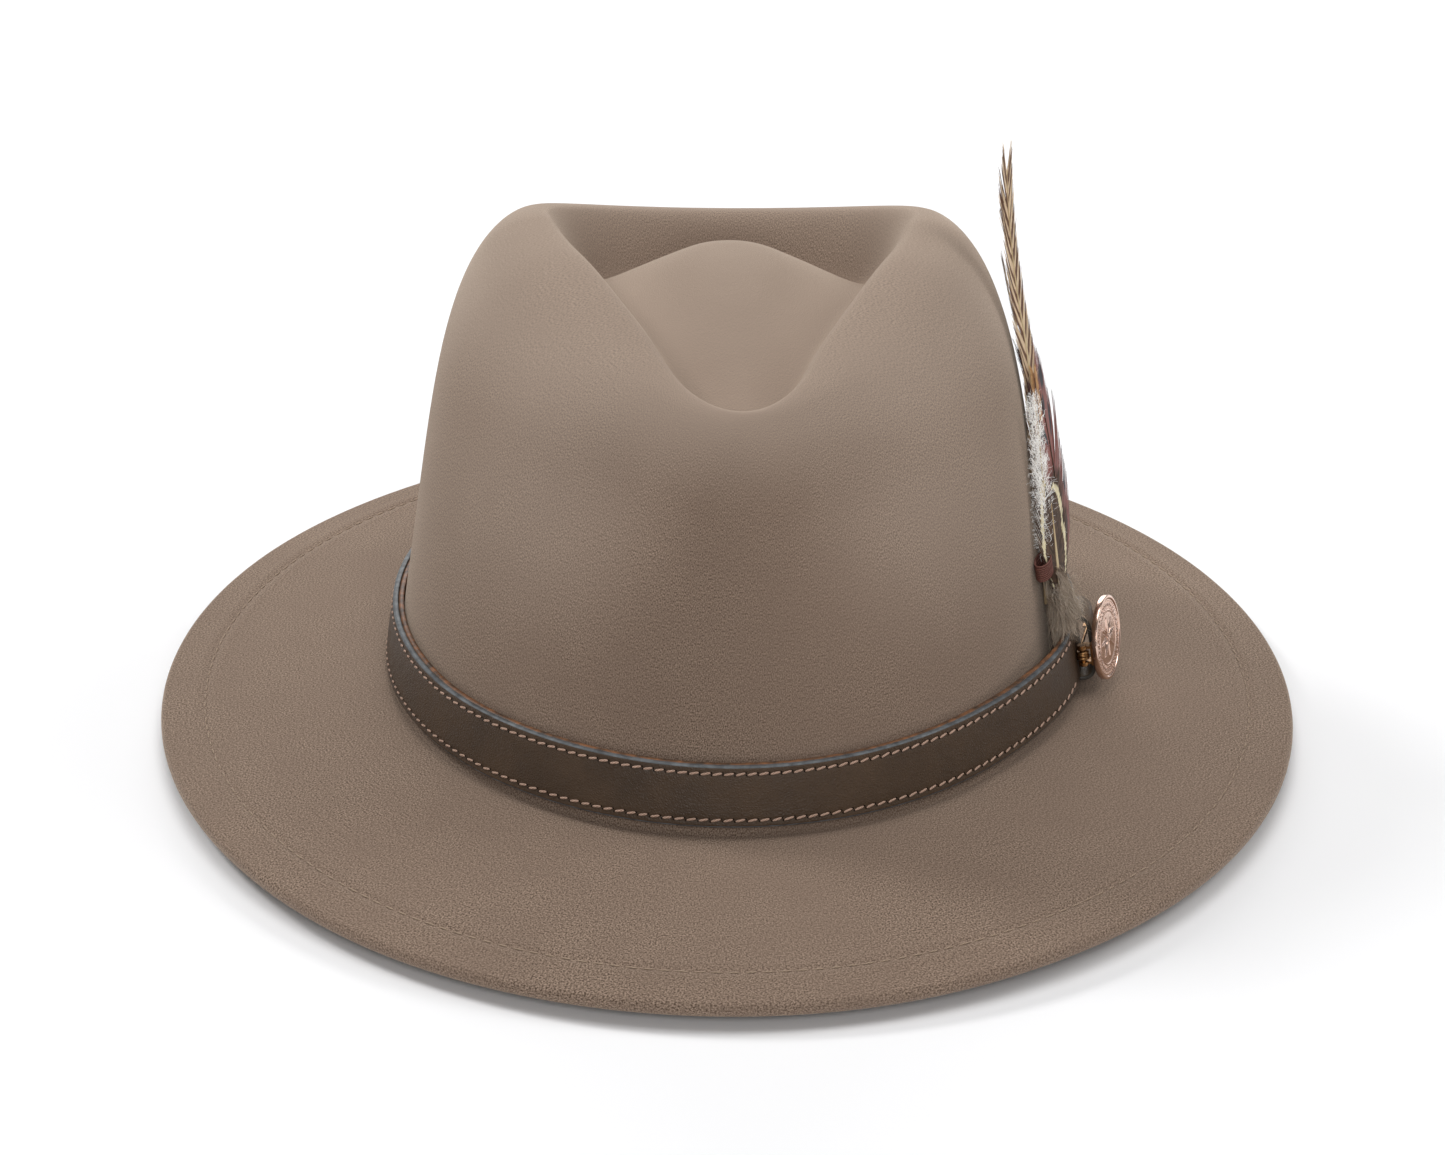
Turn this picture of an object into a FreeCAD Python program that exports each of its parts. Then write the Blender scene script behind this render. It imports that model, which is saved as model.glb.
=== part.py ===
import FreeCAD, Part
import math
import os
from FreeCAD import Vector

# Felt fedora with a teardrop crown, a stitched leather band, a feather spray tucked behind
# the band and a coin brooch pinned through the band's keeper loop.
# Frame: +Z up, -Y the front, +X the wearer's left, origin on the table under the brim's middle.
# All lengths are millimetres and all angles degrees, counted from +X towards +Y.

# ---- driving dimensions -------------------------------------------------------------------
BRIM_HALF_WIDTH = 148.0
BRIM_HALF_LENGTH = 166.5
BRIM_EDGE_THICK = 5.0        # two layers of felt, the edge is turned under
BRIM_SETTLE = -0.406         # puts the edge's lowest point on the table
BRIM_TURN_UNDER = 0.77       # brim fraction at which the turned-under strip ends
FELT_THICK = 2.2
EDGE_ROUND_STEP = 0.7        # height of the edge's first row above or below its ends

BASE_HALF_WIDTH = 86.5       # felt crown, outside, at the foot of the wall
BASE_HALF_LENGTH = 103.0
WALL_FOOT = 17.6             # height of the wall's foot above the level frame's floor
BREAK_HEIGHT = 14.5          # where the brim meets the crown
BREAK_OUT = 1.6
TIP_BACK = 1.04              # the crown leans back by this on the flat brim
TIP_SHIFT_Y = 2.6
TIP_SHIFT_Z = -0.9

CREST_HALF_WIDTH = 42.5      # the teardrop ridge round the crown's top
CREST_HALF_LENGTH = 74.5
CREST_TAPER = 0.62           # how much narrower the teardrop's front is than its back
CREST_ROUND = 0.16           # how much of that the very front gives back, to be round
CREST_HEIGHT = 132.3
CREST_FRONT_DROP = 15.0
CREST_BACK_DROP = 18.5
WALL_TAPER = 0.36            # share of the wall's lean that is straight, at the sides
WALL_TAPER_FRONT = 0.26      # more of it at the front, under a tighter shoulder
WALL_SHOULDER = 7            # exponent of the shoulder's roundness
PINCH_ANGLE = 34.0           # each front pinch, from the front
PINCH_WIDTH = 17.0
PINCH_DEPTH = 5.5
PINCH_LEVEL = 0.77
PINCH_HEIGHT = 0.21
DOME_X = 0.5
DOME_Y = 10.0
DOME_HEIGHT = 124.5
GROOVE_WIDTH = 12.0
GROOVE_DEPTH = 16.0

BAND_BOTTOM = 17.0
BAND_HEIGHT = 15.8
BAND_LAYER = 1.4             # each of the strap's two leather layers
BAND_SKIVED = 0.62           # the layers' thickness where the ends overlap
LAYER_GAP = 0.1
BAND_CLEAR = 0.3             # felt to leather
KEEPER_CLEAR = 3.1           # felt to leather behind the keeper, where the quills are tucked
STITCH_INSET = 2.0

KEEPER_ANGLE = -7.0
KEEPER_WIDTH = 13.0
KEEPER_THICK = 1.1
COIN_RADIUS = 11.1
COIN_THICK = 1.6
PIN_RADIUS = 0.45

SWEATBAND_HEIGHT = 36.0
SWEATBAND_THICK = 1.0
LINING_THICK = 0.4

ANGLES = 96                  # rows of control points round the hat


def smooth(value):
    value = min(max(value, 0.0), 1.0)
    return value * value * (3.0 - 2.0 * value)


def bump(angle, centre, width):
    """A soft bump of height 1 about an angle."""
    difference = (angle - centre + 180.0) % 360.0 - 180.0
    return math.exp(-((difference / width) ** 2))


def cos_sin(angle):
    return math.cos(math.radians(angle)), math.sin(math.radians(angle))


def tip_back(point):
    """From the level hat to the hat at rest, which leans back a little on its brim."""
    c, s = cos_sin(TIP_BACK)
    return Vector(point.x, point.y * c + point.z * s + TIP_SHIFT_Y, point.z * c - point.y * s + TIP_SHIFT_Z)


# ---- the felt's outer surface ---------------------------------------------------------------
def crest(angle):
    """The ridge round the crown's top, a rounded triangle with its point at the front."""
    c, s = cos_sin(angle)
    drop = CREST_FRONT_DROP * smooth((-0.05 - s) / 0.95)
    drop += CREST_BACK_DROP * max((s - 0.25) / 0.75, 0.0) ** 1.5
    width = 1.0 + CREST_TAPER * s + CREST_ROUND * smooth((-s - 0.5) / 0.5)
    return Vector(1.0 + CREST_HALF_WIDTH * c * width,
                  -4.0 + CREST_HALF_LENGTH * s,
                  CREST_HEIGHT - drop - 0.8 * c)


def wall(angle, level):
    """The crown's side, from its foot at level 0 to the ridge at level 1."""
    c, s = cos_sin(angle)
    ridge = crest(angle)
    taper = WALL_TAPER + WALL_TAPER_FRONT * smooth((-s - 0.5) / 0.5)
    spread = (1.0 - taper * level) * math.sqrt(max(1.0 - level ** WALL_SHOULDER, 0.0))
    x = ridge.x + (BASE_HALF_WIDTH * c - ridge.x) * spread
    y = ridge.y + (BASE_HALF_LENGTH * s - ridge.y) * spread
    z = WALL_FOOT + (ridge.z - WALL_FOOT) * level
    for side in (-1.0, 1.0):
        pinch = PINCH_DEPTH * bump(angle, -90.0 + side * PINCH_ANGLE, PINCH_WIDTH)
        pinch *= math.exp(-(((level - PINCH_LEVEL) / PINCH_HEIGHT) ** 2))
        reach = math.hypot(x, y)
        x -= pinch * x / reach
        y -= pinch * y / reach
    return Vector(x, y, z)


def crown_top(angle, reach):
    """The hollow in the crown's top: a dome, a groove round it, and the ridge at reach 1."""
    s = cos_sin(angle)[1]
    ridge = crest(angle)
    span = math.hypot(ridge.x - DOME_X, ridge.y - DOME_Y)
    groove = 1.0 - GROOVE_WIDTH / span
    floor = ridge.z - (GROOVE_DEPTH - 8.5 * smooth(-s / 0.8) + 3.0 * smooth(2.0 * s) - 6.0 * smooth((s - 0.7) / 0.3))
    if reach < groove:
        inside = reach / groove
        fall = inside ** 4 * (5.0 - 4.0 * inside)
        fall += (smooth(inside) - fall) * smooth(-s)
        z = DOME_HEIGHT - (DOME_HEIGHT - floor) * fall
    else:
        z = floor + (ridge.z - floor) * (1.0 + math.cos(math.pi * (1.0 - reach) / (1.0 - groove))) / 2.0
    return Vector(DOME_X + reach * (ridge.x - DOME_X), DOME_Y + reach * (ridge.y - DOME_Y), z)


def edge_lift(angle):
    """How far the brim's edge stands off the table."""
    c, s = cos_sin(angle)
    lift = BRIM_SETTLE + 0.9 * smooth((abs(c) - 0.55) / 0.45) + 0.3 * smooth((s - 0.6) / 0.4)
    return lift + 1.2 * bump(angle, 306.0, 18.0)


def brim_top(angle, out):
    """The brim's upper face, from the crown at 0 to the edge at 1."""
    c, s = cos_sin(angle)
    foot = Vector((BASE_HALF_WIDTH + BREAK_OUT) * c, (BASE_HALF_LENGTH + BREAK_OUT) * s, BREAK_HEIGHT)
    inner = tip_back(foot)
    outer = Vector(BRIM_HALF_WIDTH * c, BRIM_HALF_LENGTH * s, edge_lift(angle) + BRIM_EDGE_THICK)
    return Vector(inner.x + (outer.x - inner.x) * out,
                  inner.y + (outer.y - inner.y) * out,
                  inner.z + (outer.z - inner.z) * out ** 1.1)


def outward(surface, angle, level):
    """The outward normal of a surface given as a function of angle and level."""
    step = 0.002
    along = surface(angle + 0.5, level) - surface(angle - 0.5, level)
    up = surface(angle, level + step) - surface(angle, level - step)
    return along.cross(up).normalize()


def wall_at(angle, height, out):
    """A point by its height in the level hat, standing out of the felt's wall by out."""
    level = (height - WALL_FOOT) / (crest(angle).z - WALL_FOOT)
    return tip_back(wall(angle, level) + outward(wall, angle, level) * out)


# ---- solids ---------------------------------------------------------------------------------
PATCHES_ROUND = 8
PATCHES_ACROSS = 6


def net_faces(rows):
    """A smooth surface on rows of control points that run round the hat, cut into patches."""
    columns = len(rows[0])
    poles = [[row[i] for row in rows] for i in range(columns)]
    across = [4] + [1] * (len(rows) - 4) + [4]
    surface = Part.BSplineSurface()
    surface.buildFromPolesMultsKnots(poles, [1] * (columns + 1), across,
                                     list(range(columns + 1)), list(range(len(across))),
                                     True, False, 3, 3)
    last = len(across) - 1
    cuts = [last * k // PATCHES_ACROSS for k in range(PATCHES_ACROSS + 1)]
    faces = []
    for k in range(PATCHES_ROUND):
        first = columns * k // PATCHES_ROUND
        end = columns * (k + 1) // PATCHES_ROUND
        for low, high in zip(cuts, cuts[1:]):
            patch = surface.copy()
            patch.segment(first, end, low, high)
            faces.append(patch.toShape())
    return faces


def closed_solid(faces):
    shell = Part.Shell(faces)
    shell.sewShape()
    solid = Part.Solid(shell)
    if solid.Volume < 0:
        solid.reverse()
    return solid


def ring(profile, count):
    """A closed solid ring round the hat; profile gives a section's corners by angle."""
    wires = []
    for i in range(count):
        corners = profile(360.0 * i / count)
        wires.append(Part.makePolygon(corners + corners[:1]))
    return Part.makeLoft(wires, True, False, True)


def flat_strip(sections):
    """A solid strip through flat sections, each given as two near corners and the way out."""
    wires = []
    for low, high, out in sections:
        corners = [low, high, high + out, low + out]
        wires.append(Part.makePolygon(corners + corners[:1]))
    return Part.makeLoft(wires, True, True, False)


# where the felt's control rows lie: out along the brim, up the wall and in over the top
BRIM_OUTS = (0.988, 0.95, 0.91, 0.87, 0.83, 0.79, 0.755, 0.70, 0.62, 0.53, 0.43, 0.33, 0.24, 0.15,
             0.07, 0.025)
WALL_LEVELS = (-0.012, 0.012, 0.04, 0.10, 0.18, 0.27, 0.36, 0.45, 0.54, 0.62, 0.70, 0.77, 0.83, 0.88,
               0.92, 0.955, 0.98, 0.994)
TOP_REACHES = (1.0, 0.97, 0.935, 0.90, 0.86, 0.82, 0.77, 0.71, 0.64, 0.55, 0.45, 0.35, 0.25, 0.15, 0.06)


def felt_rows():
    """The felt's outer control rows from the brim's edge to the dome's middle, and their thickness."""
    rows = []
    thick = []
    angles = [360.0 * i / ANGLES for i in range(ANGLES)]
    for out in BRIM_OUTS:
        rows.append([brim_top(a, out) for a in angles])
        thick.append(BRIM_EDGE_THICK if out > BRIM_TURN_UNDER else FELT_THICK)
    for level in WALL_LEVELS:
        rows.append([tip_back(wall(a, level)) for a in angles])
        thick.append(FELT_THICK)
    for reach in TOP_REACHES:
        rows.append([tip_back(crown_top(a, reach)) for a in angles])
        thick.append(FELT_THICK)
    return rows, thick


def grid_normals(rows):
    """Outward normals of the control rows, from each point's neighbours."""
    normals = []
    for j, row in enumerate(rows):
        below = rows[max(j - 1, 0)]
        above = rows[min(j + 1, len(rows) - 1)]
        line = []
        for i in range(len(row)):
            along = row[(i + 1) % len(row)] - row[i - 1]
            line.append(along.cross(above[i] - below[i]).normalize())
        normals.append(line)
    return normals


OUTER_ROWS, OUTER_THICK = felt_rows()
OUTER_NORMALS = grid_normals(OUTER_ROWS)
WALL_ROW = len(BRIM_OUTS)    # the first row of the crown's wall


def offset_rows(first, last, depth):
    """Rows first to last of the felt's outer net, moved inwards by depth."""
    rows = []
    for j in range(first, last):
        rows.append([p - n * depth for p, n in zip(OUTER_ROWS[j], OUTER_NORMALS[j])])
    return rows


def crown_pole(depth):
    """The dome's middle, as the one point that ends a net of rows."""
    return [tip_back(Vector(DOME_X, DOME_Y, DOME_HEIGHT - depth))] * ANGLES


def make_felt():
    """Crown and brim are one piece of felt, and the brim's edge is turned under and stitched."""
    angles = [360.0 * i / ANGLES for i in range(ANGLES)]

    def edge_row(height):
        row = []
        for a in angles:
            c, s = cos_sin(a)
            row.append(Vector(BRIM_HALF_WIDTH * c, BRIM_HALF_LENGTH * s, edge_lift(a) + height))
        return row

    middle = edge_row(BRIM_EDGE_THICK / 2.0)
    upper = [middle, edge_row(BRIM_EDGE_THICK - EDGE_ROUND_STEP)] + OUTER_ROWS + [crown_pole(0.0)]
    inner = []
    for row, normals, thick in zip(OUTER_ROWS, OUTER_NORMALS, OUTER_THICK):
        inner.append([p - n * thick for p, n in zip(row, normals)])
    lower = [middle, edge_row(EDGE_ROUND_STEP)] + inner + [crown_pole(FELT_THICK)]
    return closed_solid(net_faces(upper) + net_faces(lower))


def make_shell_strip(first, last, depth):
    """A thin closed skin inside the felt, between two of its rows."""
    outer = offset_rows(first, last, depth)
    inner = offset_rows(first, last, depth + LINING_THICK)
    loop = outer + inner[::-1] + outer[:1]
    wires = []
    for i in range(ANGLES):
        corners = [row[i] for row in loop]
        wires.append(Part.makePolygon(corners))
    return Part.makeLoft(wires, True, True, True)


def make_lining_tip(first, depth):
    """The lining's cap, under the crown's top."""
    rim = offset_rows(first, first + 1, depth + LINING_THICK / 2.0)[0]
    outer = [rim] + offset_rows(first + 1, len(OUTER_ROWS), depth) + [crown_pole(depth)]
    inner = [rim] + offset_rows(first + 1, len(OUTER_ROWS), depth + LINING_THICK)
    inner += [crown_pole(depth + LINING_THICK)]
    return closed_solid(net_faces(outer) + net_faces(inner))


# ---- band -----------------------------------------------------------------------------------
def keeper_nearness(angle):
    """1 behind the keeper, falling to 0 some way round the band on each side."""
    away = abs((angle - KEEPER_ANGLE + 180.0) % 360.0 - 180.0)
    return 1.0 - smooth((away - 7.0) / 17.0)


def band_base(angle):
    return BAND_CLEAR + (KEEPER_CLEAR - BAND_CLEAR) * keeper_nearness(angle)


def band_layer(angle):
    return BAND_LAYER * (1.0 - (1.0 - BAND_SKIVED) * keeper_nearness(angle))


BAND_START = KEEPER_ANGLE - 3.0          # the under end, hidden by the keeper
BAND_END = KEEPER_ANGLE + 360.0 + 17.0   # the over end, past the keeper
STRAP_STEPS = 150


def band_depths(angle, layer):
    """Inner and outer distance from the felt of a strap layer: 0 the backing, 1 the face."""
    lift = smooth((angle - (KEEPER_ANGLE + 322.0)) / 30.0) * 2.0 * (band_layer(angle) + LAYER_GAP)
    near = band_base(angle) + lift + layer * (band_layer(angle) + LAYER_GAP)
    return near, near + band_layer(angle)


def strap(layer):
    """One layer of the strap, rounded off at its over end."""
    sections = []
    middle = BAND_BOTTOM + BAND_HEIGHT / 2.0
    for i in range(STRAP_STEPS + 1):
        angle = BAND_START + (BAND_END - BAND_START) * i / STRAP_STEPS
        near, far = band_depths(angle, layer)
        half = BAND_HEIGHT / 2.0 - 5.0 * max(1.0 - (BAND_END - angle) / 4.0, 0.0) ** 2
        out = wall_at(angle, middle, far) - wall_at(angle, middle, near)
        sections.append((wall_at(angle, middle - half, near), wall_at(angle, middle + half, near), out))
    return flat_strip(sections)


def thread_row(point_at, start, end, count, length, width):
    """A row of short stitches; point_at gives a point and its outward direction by angle."""
    stitches = []
    for i in range(count):
        angle = start + (end - start) * (i + 0.5) / count
        here, out = point_at(angle)
        along = (point_at(angle + 0.5)[0] - point_at(angle - 0.5)[0]).normalize()
        side = out.cross(along).normalize()
        block = Part.makeBox(length, width, width, Vector(-length / 2.0, -width / 2.0, -width * 0.4))
        block.Placement = FreeCAD.Placement(here, FreeCAD.Rotation(along, side, out, "ZXY"))
        stitches.append(block)
    return Part.makeCompound(stitches)


def band_stitches(height):
    def point_at(angle):
        far = band_depths(angle, 1)[1]
        here = wall_at(angle, height, far)
        return here, (here - wall_at(angle, height, far - 1.0)).normalize()
    return thread_row(point_at, BAND_START + 22.0, KEEPER_ANGLE + 360.0 - 8.0, 172, 2.5, 0.55)


def brim_stitches():
    def point_at(angle):
        here = brim_top(angle, 0.82)
        return here, outward(brim_top, angle, 0.82) * -1.0
    return thread_row(point_at, 0.0, 360.0, 210, 2.7, 0.5)


# ---- inside the crown -------------------------------------------------------------------------
SWEATBAND_OUT = FELT_THICK + 1.3         # felt, then the lining's hem, then the sweatband


def make_sweatband():
    def profile(angle):
        low = WALL_FOOT - 1.0
        high = low + SWEATBAND_HEIGHT
        near = -SWEATBAND_OUT
        far = near - SWEATBAND_THICK
        return [wall_at(angle, low, near), wall_at(angle, high, near),
                wall_at(angle, high, far), wall_at(angle, low, far)]
    return ring(profile, 80)


def ring_cord(height, depth, radius, sides):
    """A round cord laid right round the inside of the crown."""
    def profile(angle):
        corners = []
        for k in range(sides):
            c, s = cos_sin(360.0 * k / sides)
            corners.append(wall_at(angle, height + radius * s, -depth + radius * c))
        return corners
    return ring(profile, 60)


def inside_frame(angle, height, depth):
    """A placement on the crown's inside: X inwards, Z up the wall, Y round the hat."""
    here = wall_at(angle, height, -depth)
    inward = (wall_at(angle, height, -depth - 1.0) - here).normalize()
    up = (wall_at(angle, height + 1.0, -depth) - here).normalize()
    side = up.cross(inward).normalize()
    return FreeCAD.Placement(here, FreeCAD.Rotation(inward, side, up, "ZXY"))


def make_sweatband_bow():
    """The small ribbon bow at the back of the sweatband: two loops, two tails and a knot."""
    depth = SWEATBAND_OUT + SWEATBAND_THICK + 0.7
    pieces = [Part.makeBox(1.6, 3.4, 4.6, Vector(0.0, -1.7, -2.3))]
    for side in (-1.0, 1.0):
        loop = Part.makeCylinder(2.0, 1.2, Vector(0.0, side * 6.0, 0.0), Vector(1.0, 0.0, 0.0))
        arm = Part.makeBox(1.2, 6.0, 3.2, Vector(0.0, -3.0 + side * 3.0, -1.6))
        tail = Part.makeBox(0.9, 3.0, 9.0, Vector(0.0, -1.5 + side * 2.6, -10.0))
        pieces += [loop, arm, tail]
    bow = pieces[0].fuse(pieces[1:])
    bow.Placement = inside_frame(90.0, 42.0, depth)
    return bow


def make_size_label():
    """A small blank tab tucked at the sweatband's back."""
    tab = Part.makeBox(0.4, 18.0, 13.0, Vector(0.0, -9.0, 0.0))
    tab.Placement = inside_frame(118.0, 30.0, SWEATBAND_OUT + SWEATBAND_THICK + 1.0)
    return tab


def sweatband_stitches():
    height = WALL_FOOT + 3.0
    depth = SWEATBAND_OUT + SWEATBAND_THICK

    def point_at(angle):
        here = wall_at(angle, height, -depth)
        return here, (wall_at(angle, height, -depth - 1.0) - here).normalize()
    return thread_row(point_at, 0.0, 360.0, 120, 2.6, 0.45)


# ---- keeper, brooch and feathers, in a frame on the felt at the keeper --------------------------
def keeper_placement():
    """Origin on the felt at the band's mid height; X outwards, Y towards the back, Z up the wall."""
    height = BAND_BOTTOM + BAND_HEIGHT / 2.0
    here = wall_at(KEEPER_ANGLE, height, 0.0)
    up = (wall_at(KEEPER_ANGLE, height + 4.0, 0.0) - wall_at(KEEPER_ANGLE, height - 4.0, 0.0)).normalize()
    out = (wall_at(KEEPER_ANGLE, height, 1.0) - here).normalize()
    back = up.cross(out).normalize()
    return FreeCAD.Placement(here, FreeCAD.Rotation(out, back, up, "ZXY"))


KEEPER_FRAME = keeper_placement()
STRAP_NEAR = KEEPER_CLEAR
STRAP_FAR = KEEPER_CLEAR + 4.0 * BAND_LAYER * BAND_SKIVED + 3.0 * LAYER_GAP
PIN_OUT = STRAP_FAR + 2.0
TUNNEL_FAR = PIN_OUT + PIN_RADIUS + 0.35
COIL_RADIUS = 1.3
COIL_OUT = PIN_OUT + COIL_RADIUS
COIL_BACK = -10.2
COIN_OUT = COIL_OUT + 2.6
CATCH_BACK = 8.3
CATCH_LENGTH = 2.4


# the brooch lies a little askew in the keeper's tunnel, turned towards the hat's front
BROOCH_TURN = 7.0
TUNNEL_MIDDLE = Vector((STRAP_FAR + TUNNEL_FAR) / 2.0, 0.0, 0.0)
ASKEW = FreeCAD.Rotation(Vector(0.0, 0.0, 1.0), -BROOCH_TURN)
PIN_SHIFT = Vector(TUNNEL_MIDDLE.x - PIN_OUT, 0.0, 0.0)
BROOCH_FRAME = KEEPER_FRAME.multiply(FreeCAD.Placement(PIN_SHIFT, ASKEW, TUNNEL_MIDDLE))
COIN_SLANT = 7.0             # the coin slants on its bracket, away from the catch
COIN_RISE = math.tan(math.radians(COIN_SLANT))


def in_keeper_frame(shape):
    shape.Placement = KEEPER_FRAME.multiply(shape.Placement)
    return shape


def in_brooch_frame(shape):
    shape.Placement = BROOCH_FRAME.multiply(shape.Placement)
    return shape


def make_keeper():
    """A leather loop round the strap that stands off it in front and leaves a tunnel for the pin."""
    half = KEEPER_WIDTH / 2.0
    top = BAND_HEIGHT / 2.0 + 0.25
    low = STRAP_NEAR - 0.3 - KEEPER_THICK
    high = TUNNEL_FAR + KEEPER_THICK
    outside = Part.makeBox(high - low, 2.0 * half, 2.0 * (top + KEEPER_THICK),
                           Vector(low, -half, -top - KEEPER_THICK))
    lengthwise = [e for e in outside.Edges if abs(e.tangentAt(e.FirstParameter).y) > 0.99]
    outside = outside.makeFillet(1.0, lengthwise)
    tunnel = Part.makeBox(TUNNEL_FAR - STRAP_NEAR + 0.3, 2.0 * half + 2.0, 2.0 * top,
                          Vector(STRAP_NEAR - 0.3, -half - 1.0, -top))
    return in_keeper_frame(outside.cut(tunnel))


def make_keeper_stitches():
    """Two rows of thread on the keeper's face."""
    face = TUNNEL_FAR + KEEPER_THICK
    stitches = []
    for side in (-1.0, 1.0):
        for i in range(4):
            low = -5.6 + 3.0 * i
            stitches.append(Part.makeBox(0.3, 0.5, 2.2, Vector(face + 0.02, side * 4.9 - 0.25, low)))
    return in_keeper_frame(Part.makeCompound(stitches))


def make_pin():
    """The brooch pin: a coil of wire round the hinge rivet and a straight stem to the catch."""
    turns = []
    for level in (-0.86, 0.0, 0.86):
        turns.append(Part.makeTorus(COIL_RADIUS, PIN_RADIUS, Vector(COIL_OUT, COIL_BACK, level)))
    stem_length = CATCH_BACK + CATCH_LENGTH - 0.2 - COIL_BACK
    along = Vector(0.0, 1.0, 0.0)
    stem = Part.makeCylinder(PIN_RADIUS, stem_length, Vector(PIN_OUT, COIL_BACK, 0.0), along)
    point = Part.makeCone(PIN_RADIUS, 0.1, 1.8, Vector(PIN_OUT, COIL_BACK + stem_length, 0.0), along)
    return in_brooch_frame(stem.fuse([point] + turns))


def slanted(shape):
    """Turns a shape with the coin, about the upright line where its back meets the hinge."""
    shape.rotate(Vector(COIN_OUT, COIL_BACK, 0.0), Vector(0.0, 0.0, 1.0), -COIN_SLANT)
    return shape


def make_coin():
    """The coin's blank: a disc with a raised rim and a raised ring for its engraved border."""
    out = Vector(1.0, 0.0, 0.0)
    face = out * (COIN_THICK - 0.3)
    disc = Part.makeCylinder(COIN_RADIUS, COIN_THICK, Vector(0.0, 0.0, 0.0), out)
    rim = Part.makeCylinder(COIN_RADIUS - 1.1, 1.0, face, out)
    ring = Part.makeTorus(COIN_RADIUS - 3.2, 0.25, face, out)
    disc = disc.cut(rim).fuse(ring)
    disc.translate(Vector(COIN_OUT, 0.0, 0.0))
    return in_brooch_frame(slanted(disc))


def make_coin_bracket():
    """Two lugs on the coin's back that hold the hinge rivet."""
    plate = slanted(Part.makeBox(0.5, 3.6, 6.0, Vector(COIN_OUT - 0.5, COIL_BACK - 0.4, -3.0)))
    pieces = []
    for low in (-2.5, 1.8):
        lug = Part.makeCylinder(1.4, 0.7, Vector(COIL_OUT, COIL_BACK, low))
        web = Part.makeBox(COIN_OUT - COIL_OUT - 0.1, 2.6, 0.7, Vector(COIL_OUT, COIL_BACK - 0.4, low))
        pieces += [lug, web]
    bracket = plate.fuse(pieces)
    bore = Part.makeCylinder(0.78, 8.0, Vector(COIL_OUT, COIL_BACK, -4.0))
    return in_brooch_frame(bracket.cut(bore))


def make_hinge_rivet():
    shank = Part.makeCylinder(0.78, 5.2, Vector(COIL_OUT, COIL_BACK, -2.6))
    heads = []
    for low in (-2.9, 2.5):
        heads.append(Part.makeCylinder(1.2, 0.4, Vector(COIL_OUT, COIL_BACK, low)))
    return in_brooch_frame(shank.fuse(heads))


CATCH_OUTER = 1.7
CATCH_BORE = 1.25
ROLLER_OUTER = 1.18
ROLLER_BORE = 0.64
CATCH_SLOT = 1.24


def slotted_ring(outer, bore, low, length):
    """A ring about the pin with a slot on the band's side, for the pin to pass."""
    axis = Vector(0.0, 1.0, 0.0)
    ring = Part.makeCylinder(outer, length, Vector(PIN_OUT, low, 0.0), axis)
    ring = ring.cut(Part.makeCylinder(bore, length + 2.0, Vector(PIN_OUT, low - 1.0, 0.0), axis))
    slot = Part.makeBox(3.0, length + 2.0, CATCH_SLOT, Vector(PIN_OUT - 3.0, low - 1.0, -CATCH_SLOT / 2.0))
    return ring.cut(slot)


def make_catch_base():
    ring = slotted_ring(CATCH_OUTER, CATCH_BORE, CATCH_BACK, CATCH_LENGTH)
    start = Vector(PIN_OUT + 1.4, CATCH_BACK + 0.1, -0.8)
    reach = COIN_OUT + (start.y - COIL_BACK) * COIN_RISE - start.x
    post = Part.makeBox(reach, 1.8, 1.6, start)
    return in_brooch_frame(ring.fuse(post))


def make_catch_roller():
    """The catch's inner ring, which turns round the pin and closes the slot."""
    ring = slotted_ring(ROLLER_OUTER, ROLLER_BORE, CATCH_BACK - 0.05, CATCH_LENGTH + 0.75)
    tab = Part.makeBox(1.25, 0.55, 1.3, Vector(PIN_OUT + 0.75, CATCH_BACK + CATCH_LENGTH + 0.12, -0.65))
    return in_brooch_frame(ring.fuse(tab))


SPRAY_LEAN = 18.0            # the spray leans this far towards the back
SPRAY_BACK = -7.0            # and its foot is this far from the keeper's middle, towards the front


def feather(root, length, width, lean, near, far, thick, bend=1.0, base=0.25):
    """A flat feather that lies along the crown. root is its start (back, up) in the keeper frame,
    near and far its distance from the felt at its two ends, and bend how late it leaves the felt."""
    sections = []
    count = 12
    for i in range(count + 1):
        part = i / count
        back = SPRAY_BACK + root[0] + length * part * math.sin(math.radians(lean))
        up = root[1] + length * part * math.cos(math.radians(lean))
        spread = base + (1.0 - base) * smooth(part / 0.35)
        half = width / 2.0 * spread * math.sqrt(max(1.0 - part ** 5, 0.01))
        out = near + (far - near) * part ** bend
        c, s = cos_sin(lean)
        left = on_crown(back - half * c, up + half * s, out)
        right = on_crown(back + half * c, up - half * s, out)
        away = (on_crown(back, up, out + 1.0) - on_crown(back, up, out)) * thick
        sections.append((left, right, away))
    return flat_strip(sections)


def on_crown(back, up, out):
    """A point by its way back round the hat and up the wall from the keeper frame's origin."""
    height = BAND_BOTTOM + BAND_HEIGHT / 2.0 + up * 0.985
    angle = KEEPER_ANGLE + math.degrees(back / 88.0)
    level = (height - WALL_FOOT) / (crest(angle).z - WALL_FOOT)
    held = min(level, 0.80)
    here = wall(angle, held) + outward(wall, angle, held) * out
    if level > held:
        here += (wall(angle, held) - wall(angle, held - 0.05)) * ((level - held) / 0.05)
    return tip_back(here)


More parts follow.
